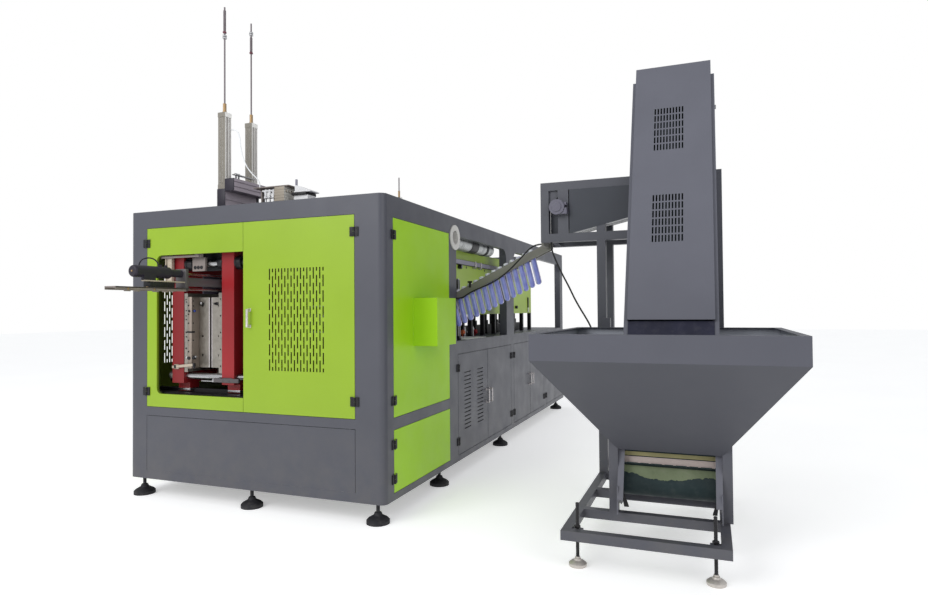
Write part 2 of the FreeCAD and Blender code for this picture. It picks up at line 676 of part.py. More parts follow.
def left_vent_panel():
    """Fixed green guards in the left side face, the upper one with a vent grid."""
    x0 = -HALF_WIDTH
    panels = []
    for z0, z1 in ((DOOR_Z0, SIDE_Z1), (SIDE_LOWER_Z0, SIDE_LOWER_Z1)):
        body = box(x0, x0 + DOOR_THICKNESS, SIDE_Y0, SIDE_Y1, z0 - PANEL_GAP + JOINT_GAP, z1)
        hollow = box(x0 + DOOR_SKIN, x0 + DOOR_THICKNESS + 1, SIDE_Y0 + DOOR_RETURN,
                     SIDE_Y1 - DOOR_RETURN, z0 + DOOR_RETURN, z1 - DOOR_RETURN)
        panels.append(body.cut(hollow))
    slots = slot_grid(SIDE_Y0 + LEFT_VENT_START, DOOR_Z0 + VENT_BELOW, LEFT_VENT_COLUMNS, VENT_ROWS,
                      lambda a, b, low, high: box(x0 - 1, x0 + DOOR_SKIN + 1, a, b, low, high))
    return Part.Compound([cut(panels[0], slots), panels[1]])


# ---- oven bay ----------------------------------------------------------------------------------------
def column_spans():
    return ((MID_COLUMN_Y, MID_COLUMN_Y + MID_COLUMN), (REAR_Y - REAR_COLUMN, REAR_Y))


def foot_plates(ys):
    """Plates in the frame's lower corners that the side feet stand under."""
    plates = []
    for y in ys:
        for side in (-1, 1):
            xs = sorted((side * (INNER + 1), side * (SIDE_FOOT_X - FOOT_PLATE)))
            plates.append(box(xs[0], xs[1], y - FOOT_PLATE, y + FOOT_PLATE, BOTTOM_Z, BOTTOM_Z + 12))
    return plates


def rear_frame():
    y0 = BLOCK_REAR + JOINT_GAP
    table_under = TABLE_HEIGHT - TABLE_PLATE
    base = box(-HALF_WIDTH, HALF_WIDTH, y0, REAR_Y, BOTTOM_Z, table_under)
    tools = [box(-INNER, INNER, y0 + WALL, REAR_Y - WALL, BOTTOM_Z - 1, table_under + 1)]
    for start, width in zip(CABINET_PAIR_STARTS, CABINET_DOOR_WIDTHS):
        tools.append(box(-HALF_WIDTH - 1, HALF_WIDTH + 1, start - PANEL_GAP, start + 2 * width + PANEL_GAP,
                         CABINET_DOOR_Z0 - PANEL_GAP, CABINET_DOOR_Z0 + CABINET_DOOR_HEIGHT + PANEL_GAP))
    tools.append(box(-INNER + 60, INNER - 60, y0 - 1, REAR_Y + 1, CABINET_DOOR_Z0 - PANEL_GAP,
                     CABINET_DOOR_Z0 + CABINET_DOOR_HEIGHT + PANEL_GAP))
    base = fused([cut(base, tools)] + foot_plates(FOOT_YS[2:]))
    beam_z = FRAME_TOP - SIDE_TOP_RAIL
    frames = []
    for side in (-1, 1):
        x_out = side * HALF_WIDTH
        xs = sorted((x_out, x_out - side * COLUMN_DEPTH))
        beam_xs = sorted((x_out, x_out - side * WALL))
        parts = [box(beam_xs[0], beam_xs[1], y0, REAR_Y, beam_z, FRAME_TOP)]
        for a, b in column_spans():
            parts.append(box(xs[0], xs[1], a, b, table_under + JOINT_GAP, FRAME_TOP - 1))
            for edge, way in ((a, -1), (b, 1)):
                if not y0 + GUSSET < edge < REAR_Y - GUSSET:
                    continue
                corner = box(beam_xs[0], beam_xs[1], *sorted((edge - way, edge + way * GUSSET)),
                             beam_z - GUSSET, beam_z + 1)
                round_off = rod((beam_xs[0] - 1, edge + way * GUSSET, beam_z - GUSSET), (1, 0, 0),
                                GUSSET, WALL + 2)
                parts.append(cut(corner, [round_off]))
        frames.append(cut(fused(parts), [duct_hole()]))
    reach = HALF_WIDTH - COLUMN_DEPTH - JOINT_GAP
    for a, b in column_spans():
        frames.append(box(-reach, reach, b - CROSS_BEAM - 40, b - 40, FRAME_TOP - CROSS_BEAM, FRAME_TOP))
    reach = INNER - JOINT_GAP
    lift_bore = rod((TRANSFER_X, TRANSFER_Y, FRAME_TOP - CROSS_BEAM - 1), (0, 0, 1),
                    TRANSFER_ROD_RADIUS + BORE_CLEARANCE, CROSS_BEAM + 2)
    frames.append(cut(box(-reach, reach, TRANSFER_Y - 45, TRANSFER_Y + 45, FRAME_TOP - CROSS_BEAM, FRAME_TOP),
                      [lift_bore]))
    return Part.Compound([base] + frames)


def table_top():
    y0 = BLOCK_REAR + JOINT_GAP
    plate = box(-HALF_WIDTH, HALF_WIDTH, y0, REAR_Y, TABLE_HEIGHT - TABLE_PLATE + JOINT_GAP, TABLE_HEIGHT)
    notches = []
    for side in (-1, 1):
        xs = sorted((side * (HALF_WIDTH + 1), side * (HALF_WIDTH - COLUMN_DEPTH - JOINT_GAP)))
        for a, b in column_spans():
            notches.append(box(xs[0], xs[1], a - JOINT_GAP, b + JOINT_GAP + (1 if b == REAR_Y else 0),
                               0, FRAME_TOP))
    return cut(plate, notches)


def rear_panels():
    """Plain fixed panels that close the base on its left side and its rear end."""
    panels = []
    z0, z1 = CABINET_DOOR_Z0, CABINET_DOOR_Z0 + CABINET_DOOR_HEIGHT
    for start, width in zip(CABINET_PAIR_STARTS, CABINET_DOOR_WIDTHS):
        body = box(-HALF_WIDTH, -HALF_WIDTH + CABINET_DOOR_THICKNESS, start - PANEL_GAP + JOINT_GAP,
                   start + 2 * width + PANEL_GAP - JOINT_GAP, z0, z1)
        hollow = box(-HALF_WIDTH + DOOR_SKIN, 0, start + DOOR_RETURN, start + 2 * width - DOOR_RETURN,
                     z0 + DOOR_RETURN, z1 - DOOR_RETURN)
        panels.append(body.cut(hollow))
    half = INNER - 60 - JOINT_GAP
    body = box(-half, half, REAR_Y - CABINET_DOOR_THICKNESS, REAR_Y, z0, z1)
    hollow = box(-half + DOOR_RETURN, half - DOOR_RETURN, 0, REAR_Y - DOOR_SKIN,
                 z0 + DOOR_RETURN, z1 - DOOR_RETURN)
    panels.append(body.cut(hollow))
    return Part.Compound(panels)


def levelling_feet():
    """Rubber-footed studs: a disc, a cone and a threaded stud up to the sill."""
    feet = []
    places = [(x, FOOT_YS[0]) for x in FOOT_XS]
    places += [(x, y) for y in FOOT_YS[1:] for x in (-SIDE_FOOT_X, SIDE_FOOT_X)]
    for x, y in places:
        profile = [(0, 0), (FOOT_RADIUS, 0), (FOOT_RADIUS, 22), (FOOT_RADIUS - 12, 34), (30, 52),
                   (22, 70), (FOOT_STUD, 70), (FOOT_STUD, BOTTOM_Z - JOINT_GAP), (0, BOTTOM_Z - JOINT_GAP)]
        face = Part.Face(Part.makePolygon([V(r, 0, z) for r, z in profile + profile[:1]]))
        foot = face.revolve(V(0, 0, 0), V(0, 0, 1), 360)
        foot.translate(V(x, y, 0))
        feet.append(foot)
    return Part.Compound(feet)


def oven_cover():
    """The heating tunnel's cover: a sheet-metal tunnel, open at both ends and below."""
    x0 = OVEN_X1 - OVEN_DEPTH
    outer = box(x0, OVEN_X1, OVEN_Y0, OVEN_Y1, OVEN_Z0, OVEN_Z1)
    inner = box(x0 + OVEN_SKIN, OVEN_X1 - OVEN_SKIN, OVEN_Y0 - 1, OVEN_Y1 + 1, OVEN_Z0 - 1,
                OVEN_Z1 - OVEN_SKIN)
    return outer.cut(inner)


def oven_frame():
    """Legs under the tunnel, the clip rail along its face, and the carrier track."""
    parts = []
    pitch = (OVEN_Y1 - OVEN_Y0 - OVEN_LEG) / OVEN_BAYS
    x0 = OVEN_X1 - OVEN_DEPTH
    for x in (x0, OVEN_X1 - OVEN_LEG):
        for i in range(OVEN_BAYS + 1):
            y = OVEN_Y0 + i * pitch
            parts.append(box(x, x + OVEN_LEG, y, y + OVEN_LEG, TABLE_HEIGHT + JOINT_GAP,
                             OVEN_Z0 - JOINT_GAP))
    track_x = (x0 + OVEN_X1) / 2
    parts.append(box(track_x - 60, track_x + 60, OVEN_Y0 - 120, OVEN_Y1 + 120, TABLE_HEIGHT + JOINT_GAP,
                     TABLE_HEIGHT + 90))
    parts.append(box(OVEN_X1 + JOINT_GAP, OVEN_X1 + 22, OVEN_Y0 - 160, OVEN_Y1 - 900, OVEN_RAIL_Z - 22,
                     OVEN_RAIL_Z + 22))
    return Part.Compound(parts)


def exhaust_ring():
    """Outlet flange on the side wall with its elbow towards the duct."""
    flange = rod((HALF_WIDTH + JOINT_GAP, RING_Y, RING_Z), (1, 0, 0), RING_RADIUS, RING_THICKNESS)
    pipe = DUCT_RADIUS - DUCT_RIB
    outer = [rod((DUCT_X, RING_Y, RING_Z), (1, 0, 0), pipe, HALF_WIDTH - DUCT_X + RING_THICKNESS),
             rod((DUCT_X, RING_Y, RING_Z), (0, 1, 0), pipe, DUCT_Y0 - RING_Y - JOINT_GAP),
             Part.makeSphere(pipe, V(DUCT_X, RING_Y, RING_Z))]
    bore = pipe - DUCT_WALL
    inner = [rod((DUCT_X, RING_Y, RING_Z), (1, 0, 0), bore, HALF_WIDTH),
             rod((DUCT_X, RING_Y, RING_Z), (0, 1, 0), bore, HALF_WIDTH),
             Part.makeSphere(bore, V(DUCT_X, RING_Y, RING_Z))]
    return fused([flange] + outer).cut(fused(inner))


def exhaust_duct():
    """Ribbed flexible duct under the top beam, straight along Y."""
    circles = []
    low = DUCT_RADIUS - DUCT_RIB
    for rib in range(DUCT_RIBS):
        y = DUCT_Y0 + rib * DUCT_PITCH
        for offset, radius in ((0.0, low), (0.3, DUCT_RADIUS), (0.6, DUCT_RADIUS), (0.9, low)):
            circles.append(ring_at(y + offset * DUCT_PITCH, radius))
    circles.append(ring_at(DUCT_Y0 + DUCT_RIBS * DUCT_PITCH, low))
    skin = Part.makeLoft(circles, True, True)
    bore = rod((DUCT_X, DUCT_Y0 - 1, RING_Z), (0, 1, 0), low - DUCT_WALL, DUCT_RIBS * DUCT_PITCH + 2)
    return skin.cut(bore)


def ring_at(y, radius):
    circle = Part.Circle(V(DUCT_X, y, RING_Z), V(0, 1, 0), radius)
    circle.XAxis = V(1, 0, 0)
    return Part.Wire([circle.toShape()])


# ---- clamp --------------------------------------------------------------------------------------------
MOULD_INNER_L = CLAMP_X - MOULD_GAP / 2
MOULD_INNER_R = CLAMP_X + MOULD_GAP / 2
PLATEN_INNER_L = MOULD_INNER_L - MOULD_DEPTH - BACKING_PLATE - JOINT_GAP
PLATEN_INNER_R = MOULD_INNER_R + MOULD_DEPTH + BACKING_PLATE + JOINT_GAP
PLATEN_L = PLATEN_INNER_L - PLATEN
PLATEN_R = PLATEN_INNER_R + PLATEN
CLAMP_AXIS_Y = (PLATEN_Y0 + PLATEN_Y1) / 2
CLAMP_AXIS_Z = (TIE_BAR_ZS[0] + TIE_BAR_ZS[1]) / 2
END_PLATEN_X1 = END_PLATEN_X0 + PLATEN


def machine_bed():
    """Bed plate on two cross ribs, with the platens' slide rails and the base mould's lift bore."""
    inset = INNER - JOINT_GAP
    rail_end = INNER - 60
    parts = [box(-inset, inset, FRONT_Y + WALL + JOINT_GAP, BLOCK_REAR - 60, BED_TOP - BED_PLATE, BED_TOP)]
    for y in RAIL_YS:
        parts.append(box(-inset, inset, y - 40, y + 40, BED_TOP - BED_PLATE - 90, BED_TOP - BED_PLATE + 1))
        parts.append(box(-rail_end, rail_end - 500, y - RAIL_WIDTH / 2, y + RAIL_WIDTH / 2,
                         BED_TOP - 1, BED_TOP + RAIL_HEIGHT))
    bore = rod((CLAMP_X, sum(CAVITY_YS) / 2, 0), (0, 0, 1), LIFT_ROD_RADIUS + RUNNING_CLEARANCE, BED_TOP + 1)
    return fused(parts).cut(bore)


def tie_bar_places():
    return [(y, z) for y in TIE_BAR_YS for z in TIE_BAR_ZS]


def platen(x0, bar_radius):
    """A cast plate on two slide shoes, bored for the tie bars."""
    body = box(x0, x0 + PLATEN, PLATEN_Y0, PLATEN_Y1, PLATEN_Z0, PLATEN_Z1)
    shoes = [box(x0, x0 + PLATEN, y - 45, y + 45, BED_TOP + 6, PLATEN_Z0 + 1) for y in RAIL_YS]
    grooves = [box(x0 - 1, x0 + PLATEN + 1, y - RAIL_WIDTH / 2 - RUNNING_CLEARANCE,
                   y + RAIL_WIDTH / 2 + RUNNING_CLEARANCE, 0, BED_TOP + RAIL_HEIGHT + RUNNING_CLEARANCE)
               for y in RAIL_YS]
    bores = [rod((x0 - 1, y, z), (1, 0, 0), bar_radius, PLATEN + 2) for y, z in tie_bar_places()]
    centre = rod((x0 - 1, CLAMP_AXIS_Y, CLAMP_AXIS_Z), (1, 0, 0), CLAMP_ROD_RADIUS + RUNNING_CLEARANCE,
                 PLATEN + 2)
    return [body] + shoes, grooves, bores, centre


def outer_platens():
    """The left platen and the end plate, which the tie bars join into one sliding cage."""
    plates = []
    for x0, bored in ((PLATEN_L, False), (END_PLATEN_X0, True)):
        solids, grooves, bores, centre = platen(x0, TIE_BAR_RADIUS + JOINT_GAP)
        plates.append(cut(fused(solids), grooves + bores + ([centre] if bored else [])))
    return Part.Compound(plates)


def inner_platen():
    solids, grooves, _, _ = platen(PLATEN_INNER_R, TIE_BAR_RADIUS)
    bushes = []
    for y, z in tie_bar_places():
        if z == TIE_BAR_ZS[1]:
            bushes.append(rod((PLATEN_INNER_R - BUSH_LENGTH, y, z), (1, 0, 0), BUSH_RADIUS, BUSH_LENGTH + 1))
            bushes.append(rod((PLATEN_R - 1, y, z), (1, 0, 0), BUSH_RADIUS, BUSH_LENGTH + 1))
    long_bores = [rod((PLATEN_INNER_R - BUSH_LENGTH - 1, y, z), (1, 0, 0),
                      TIE_BAR_RADIUS + RUNNING_CLEARANCE, PLATEN + 2 * BUSH_LENGTH + 2)
                  for y, z in tie_bar_places()]
    return cut(fused(solids + bushes), grooves + long_bores)


def tie_bars():
    x0 = PLATEN_L - 50
    x1 = END_PLATEN_X1 + 50
    bars = []
    for y, z in tie_bar_places():
        bar = rod((x0, y, z), (1, 0, 0), TIE_BAR_RADIUS, x1 - x0)
        nuts = [rod((x, y, z), (1, 0, 0), TIE_BAR_RADIUS + 16, 38)
                for x in (PLATEN_L - 38 - JOINT_GAP, END_PLATEN_X1 + JOINT_GAP)]
        bars.append(fused([bar] + nuts))
    return Part.Compound(bars)


def clamp_cylinder():
    """Clamping cylinder behind the end plate: barrel with square caps, bored for its rod."""
    x0 = END_PLATEN_X1 + JOINT_GAP
    cap = 40.0
    side = CLAMP_BORE_RADIUS + 12
    parts = [rod((x0, CLAMP_AXIS_Y, CLAMP_AXIS_Z), (1, 0, 0), CLAMP_BORE_RADIUS, CLAMP_BARREL)]
    for x in (x0, x0 + CLAMP_BARREL - cap):
        parts.append(box(x, x + cap, CLAMP_AXIS_Y - side, CLAMP_AXIS_Y + side, CLAMP_AXIS_Z - side,
                         CLAMP_AXIS_Z + side))
    bore = rod((x0 - 1, CLAMP_AXIS_Y, CLAMP_AXIS_Z), (1, 0, 0), CLAMP_ROD_RADIUS + RUNNING_CLEARANCE,
               CLAMP_BARREL - cap)
    return fused(parts).cut(bore)


def clamp_rod():
    """Piston rod, bolted to the inner platen by its flange."""
    x0 = PLATEN_R + JOINT_GAP
    flange = rod((x0, CLAMP_AXIS_Y, CLAMP_AXIS_Z), (1, 0, 0), CLAMP_ROD_RADIUS + 24, 24)
    shank = rod((x0, CLAMP_AXIS_Y, CLAMP_AXIS_Z), (1, 0, 0), CLAMP_ROD_RADIUS,
                END_PLATEN_X1 - x0 + 60)
    return fused([flange, shank])


def bottle_cavity(y):
    """The space of one bottle about its station's axis: ribbed body, shoulder and neck."""
    r = BOTTLE_RADIUS
    z0 = MOULD_Z0 + BASE_RECESS_HEIGHT - 1
    z1 = z0 + BOTTLE_HEIGHT
    profile = [(0, z0), (r - 10, z0), (r, z0 + 14)]
    for rib in range(4):
        z = z0 + 60 + rib * RIB_PITCH
        profile += [(r, z), (r - 6, z + 8), (r - 6, z + 14), (r, z + 22)]
    profile += [(r, z1 - SHOULDER), (r - 22, z1 - SHOULDER + 50), (NECK_RADIUS + 18, z1 - 10),
                (NECK_RADIUS, z1 + 8), (NECK_RADIUS, MOULD_Z1 + 1), (0, MOULD_Z1 + 1)]
    face = Part.Face(Part.makePolygon([V(a, 0, z) for a, z in profile + profile[:1]]))
    cavity = face.revolve(V(0, 0, 0), V(0, 0, 1), 360)
    cavity.translate(V(CLAMP_X, y, 0))
    return cavity


def mould_half(side):
    """One mould half: backing plate with base ring, two cavity blocks and shoulder plate seated on it."""
    inner = MOULD_INNER_L if side < 0 else MOULD_INNER_R
    seat = inner + side * (MOULD_DEPTH - JOINT_GAP)
    xs = sorted((inner, seat))
    back = sorted((inner + side * MOULD_DEPTH, inner + side * (MOULD_DEPTH + BACKING_PLATE)))
    middle_y = sum(CAVITY_YS) / 2
    block_z0 = MOULD_Z0 + BASE_RECESS_HEIGHT
    block_z1 = block_z0 - 1 + BOTTLE_HEIGHT - SHOULDER
    blocks = [box(xs[0], xs[1], MOULD_Y0, MOULD_Y1, MOULD_Z0, block_z0 - JOINT_GAP),
              box(xs[0], xs[1], MOULD_Y0, middle_y - JOINT_GAP, block_z0, block_z1 - JOINT_GAP),
              box(xs[0], xs[1], middle_y, MOULD_Y1, block_z0, block_z1 - JOINT_GAP),
              box(xs[0], xs[1], MOULD_Y0, MOULD_Y1, block_z1, MOULD_Z1)]
    plate = box(back[0], back[1], PLATEN_Y0 + 4, MOULD_Y1 + 40, MOULD_Z0 - 30, MOULD_Z1 + 30)
    tools = [bottle_cavity(y) for y in CAVITY_YS]
    tools += [rod((CLAMP_X, y, MOULD_Z0 - 1), (0, 0, 1), BASE_RECESS_RADIUS, BASE_RECESS_HEIGHT + 1)
              for y in CAVITY_YS]
    middle = (xs[0] + xs[1]) / 2
    for z in (MOULD_Z0 + 90, MOULD_Z0 + 230, MOULD_Z1 - 60):
        tools.append(rod((middle, MOULD_Y0 - 1, z), (0, 1, 0), 9, 30))
    ports = [rod(((back[0] + back[1]) / 2, PLATEN_Y0 + 3, z), (0, 1, 0), 6, 16)
             for z in range(int(MOULD_Z0) + 20, int(MOULD_Z1), 120)]
    return Part.Compound([cut(plate, ports)] + [cut(block, tools) for block in blocks])


def base_mould():
    """Base inserts of both stations on their lifting table."""
    top = MOULD_Z0 + 22
    parts = [rod((CLAMP_X, y, MOULD_Z0 - 62), (0, 0, 1), BASE_INSERT_RADIUS, top - MOULD_Z0 + 62)
             for y in CAVITY_YS]
    parts.append(box(CLAMP_X - 70, CLAMP_X + 70, CAVITY_YS[0] - 70, CAVITY_YS[1] + 70,
                     MOULD_Z0 - 85, MOULD_Z0 - 61))
    middle = sum(CAVITY_YS) / 2
    rod_z = BED_TOP - 25
    parts.append(rod((CLAMP_X, middle, rod_z), (0, 0, 1), LIFT_ROD_RADIUS, MOULD_Z0 - 84 - rod_z))
    domes = [Part.makeSphere(90, V(CLAMP_X, y, top + 76)) for y in CAVITY_YS]
    return cut(fused(parts), domes)


# ---- roof: stretching unit and valves ----------------------------------------------------------------
def rod_bores(radius):
    return [rod((CLAMP_X, y, 0), (0, 0, 1), radius, ROD_TOP + 100) for y in CAVITY_YS]


def stretch_beams():
    """Two aluminium profiles across the roof opening, on two cross feet."""
    half = LOWER_BEAM_WIDTH / 2
    lower = box(CLAMP_X - half, CLAMP_X + half, BEAM_Y0, BEAM_Y1, LOWER_BEAM_Z0, LOWER_BEAM_Z1)
    right = CLAMP_X + half + UPPER_BEAM_WIDTH - 2
    upper = box(CLAMP_X + half - 2, right, BEAM_Y0, BEAM_Y1, UPPER_BEAM_Z0, UPPER_BEAM_Z1)
    feet = [box(CLAMP_X - ROOF_OPENING_X - 50, CLAMP_X + ROOF_OPENING_X + 50, y, y + 50,
                FRAME_TOP + JOINT_GAP, LOWER_BEAM_Z0 + 1) for y in (BEAM_Y0 + 60, BEAM_Y1 - 140)]
    grooves = [box(right - 6, right + 1, BEAM_Y0 - 1, BEAM_Y1 + 1, z, z + 10)
               for z in (UPPER_BEAM_Z0 + 22, UPPER_BEAM_Z1 - 32)]
    grooves += [box(CLAMP_X + half - 6, CLAMP_X + half + 1, BEAM_Y0 - 1, BEAM_Y1 + 1,
                    LOWER_BEAM_Z0 + 40, LOWER_BEAM_Z0 + 50)]
    return cut(fused([lower, upper] + feet), grooves + rod_bores(ROD_RADIUS + BORE_CLEARANCE))


def air_cylinders():
    """Profile air cylinders: two over the stations, a short one over the preform transfer."""
    cylinders = []
    half = CYLINDER_SIDE / 2
    for y in CAVITY_YS:
        z_cap = CYLINDER_TOP - CYLINDER_CAP
        tube = box(CLAMP_X - half + 2, CLAMP_X + half - 2, y - half + 2, y + half - 2, CYLINDER_BASE, z_cap)
        grooves = []
        for offset in (-14, 8):
            grooves.append(box(CLAMP_X + half - 5, CLAMP_X + half, y + offset, y + offset + 6, CYLINDER_BASE
                               + CYLINDER_CAP, z_cap))
            grooves.append(box(CLAMP_X + offset, CLAMP_X + offset + 6, y - half, y - half + 5,
                               CYLINDER_BASE + CYLINDER_CAP, z_cap))
        caps = [box(CLAMP_X - half, CLAMP_X + half, y - half, y + half, z, z + CYLINDER_CAP)
                for z in (CYLINDER_BASE, z_cap)]
        body = fused([tube.cut(Part.Compound(grooves))] + caps)
        cylinders.append(cut(body, rod_bores(ROD_RADIUS + BORE_CLEARANCE)))
    small = box(TRANSFER_X - 22, TRANSFER_X + 22, TRANSFER_Y - 22, TRANSFER_Y + 22,
                FRAME_TOP + JOINT_GAP, TRANSFER_BODY_TOP)
    bore = rod((TRANSFER_X, TRANSFER_Y, 0), (0, 0, 1), TRANSFER_ROD_RADIUS + BORE_CLEARANCE,
               TRANSFER_BODY_TOP + 1)
    cylinders.append(small.cut(bore))
    return Part.Compound(cylinders)


def rod_glands():
    glands = []
    for y in CAVITY_YS:
        body = fused([rod((CLAMP_X, y, CYLINDER_TOP + JOINT_GAP), (0, 0, 1), GLAND_RADIUS + 3, 12),
                      rod((CLAMP_X, y, CYLINDER_TOP + JOINT_GAP), (0, 0, 1), GLAND_RADIUS,
                          GLAND_TOP - CYLINDER_TOP - JOINT_GAP)])
        glands.append(cut(body, rod_bores(ROD_RADIUS + RUNNING_CLEARANCE)))
    body = rod((TRANSFER_X, TRANSFER_Y, TRANSFER_BODY_TOP + JOINT_GAP), (0, 0, 1), 9,
               TRANSFER_GLAND_TOP - TRANSFER_BODY_TOP - JOINT_GAP)
    bore = rod((TRANSFER_X, TRANSFER_Y, 0), (0, 0, 1), TRANSFER_ROD_RADIUS + RUNNING_CLEARANCE,
               TRANSFER_GLAND_TOP + 1)
    glands.append(body.cut(bore))
    return Part.Compound(glands)


def stretch_rods():
    """Stretch rods with the stop tubes and clamping collars at their upper ends."""
    rods = []
    for y in CAVITY_YS:
        parts = [rod((CLAMP_X, y, ROD_TIP), (0, 0, 1), ROD_RADIUS, ROD_TOP - ROD_TIP),
                 rod((CLAMP_X, y, ROD_COLLAR_Z + 44), (0, 0, 1), ROD_RADIUS + 5, 160)]
        parts.append(rod((CLAMP_X, y, ROD_COLLAR_Z), (0, 0, 1), ROD_RADIUS + 15, 14))
        parts.append(rod((CLAMP_X, y, ROD_COLLAR_Z + 26), (0, 0, 1), ROD_RADIUS + 15, 12))
        rods.append(fused(parts))
    return Part.Compound(rods)


def transfer_rod():
    z0 = TRANSFER_BODY_TOP - TRANSFER_ROD_BELOW
    return rod((TRANSFER_X, TRANSFER_Y, z0), (0, 0, 1), TRANSFER_ROD_RADIUS, TRANSFER_ROD_TOP - z0)


def valve_block():
    """Valve manifold on the roof with its plate towards the cylinders and a short post."""
    top = VALVE_TOP
    parts = [box(VALVE_X0, VALVE_X1, VALVE_Y0, VALVE_Y1, FRAME_TOP + JOINT_GAP, top + 1),
             box(CLAMP_X + 125, VALVE_X1 + 20, VALVE_Y0 + 13, VALVE_Y1 + 88, top, top + VALVE_PLATE),
             rod((VALVE_X1 + 12, VALVE_Y0 + 38, top + VALVE_PLATE - 1), (0, 0, 1), 5, 60)]
    for x in (-60, -15):
        parts.append(rod((x, VALVE_Y0 + 38, top - 70), (0, 0, 1), 16, 71))
        parts.append(rod((x, VALVE_Y0 + 38, top - 90), (0, 0, 1), 9, 21))
    return fused(parts)


def blow_head():
    """Blowing block over the mould necks, hung from the lower profile by two columns."""
    y0, y1 = CAVITY_YS[0] - 90, CAVITY_YS[1] + 90
    z0, z1 = 1670.0, 1760.0
    parts = [box(CLAMP_X - 66, CLAMP_X + 50, y0, y1, z0, z1)]
    parts += [rod((CLAMP_X, y, z0 - 46), (0, 0, 1), NECK_RADIUS, 47) for y in CAVITY_YS]
    parts += [rod((CLAMP_X, y, z1 - 1), (0, 0, 1), 15, LOWER_BEAM_Z0 - JOINT_GAP - z1 + 1)
              for y in (CAVITY_YS[0] + 105, CAVITY_YS[1] - 125)]
    ports = [rod((CLAMP_X + offset, y0 - 1, z0 + 42), (0, 1, 0), 8, 20) for offset in (-42, -16, 12)]
    return cut(fused(parts), ports + rod_bores(ROD_RADIUS + BORE_CLEARANCE))


# ---- bottle take-out arm ----------------------------------------------------------------------------
def takeout_arm():
    """Bottle shelf, its bracket, and the two guide rods and bar that carry it."""
    half = TAKEOUT_WIDTH / 2
    tip = FRONT_Y - TAKEOUT_REACH
    y1 = TAKEOUT_BRACKET_Y + TAKEOUT_BRACKET
    shelf = box(TAKEOUT_X - half, TAKEOUT_X + half, tip, y1, TAKEOUT_PLATE_Z, TAKEOUT_PLATE_Z + TAKEOUT_PLATE)
    clip = [e for e in shelf.Edges if e.BoundBox.ZLength > 1 and e.BoundBox.YMax < tip + 1]
    shelf = shelf.makeChamfer(18, clip)
    bracket = box(TAKEOUT_X - half, TAKEOUT_X + half, TAKEOUT_BRACKET_Y, y1, TAKEOUT_BRACKET_Z0,
                  TAKEOUT_BRACKET_Z1)
    strip_z = TAKEOUT_PLATE_Z + TAKEOUT_STRIP_ABOVE
    strip = box(TAKEOUT_X + 8, TAKEOUT_X + 40, tip + 240, TAKEOUT_BRACKET_Y + 1, strip_z,
                strip_z + TAKEOUT_PLATE)
    block = box(TAKEOUT_X - 20, TAKEOUT_X + 36, tip + 280, tip + 480, TAKEOUT_PLATE_Z + TAKEOUT_PLATE - 1,
                strip_z + 1)
    rods = [rod((TAKEOUT_X, y1 - 1, z), (0, 1, 0), TAKEOUT_ROD_RADIUS, TAKEOUT_ROD_END - y1)
            for z in TAKEOUT_ROD_ZS]
    bar = rod((TAKEOUT_X, y1 - 1, TAKEOUT_BAR_Z), (0, 1, 0), TAKEOUT_BAR_RADIUS, TAKEOUT_ROD_END - y1 - 40)
    holes = [rod((TAKEOUT_X + x, tip + y, TAKEOUT_PLATE_Z - 1), (0, 0, 1), TAKEOUT_HOLE, TAKEOUT_PLATE + 2)
             for x in (-28, 22) for y in (60, 190)]
    return fused([shelf.cut(Part.Compound(holes)), bracket, strip, block] + rods + [bar])


def takeout_guide():
    """Fixed guide block of the take-out rods, hung from the roof frame."""
    half = TAKEOUT_WIDTH / 2 + 10
    y0, y1 = TAKEOUT_GUIDE_Y0, TAKEOUT_GUIDE_Y0 + TAKEOUT_GUIDE
    block = box(TAKEOUT_X - half, TAKEOUT_X + half, y0, y1, 1478, 1650)
    hanger = box(TAKEOUT_X - 40, TAKEOUT_X + 40, y0 + 22, y0 + 38, 1649, FRAME_TOP - WALL - JOINT_GAP)
    bores = [rod((TAKEOUT_X, y0 - 1, z), (0, 1, 0), TAKEOUT_ROD_RADIUS + RUNNING_CLEARANCE, TAKEOUT_GUIDE + 2)
             for z in TAKEOUT_ROD_ZS]
    bores.append(rod((TAKEOUT_X, y0 - 1, TAKEOUT_BAR_Z), (0, 1, 0), TAKEOUT_BAR_RADIUS + RUNNING_CLEARANCE,
                     TAKEOUT_GUIDE + 2))
    return cut(fused([block, hanger]), bores)


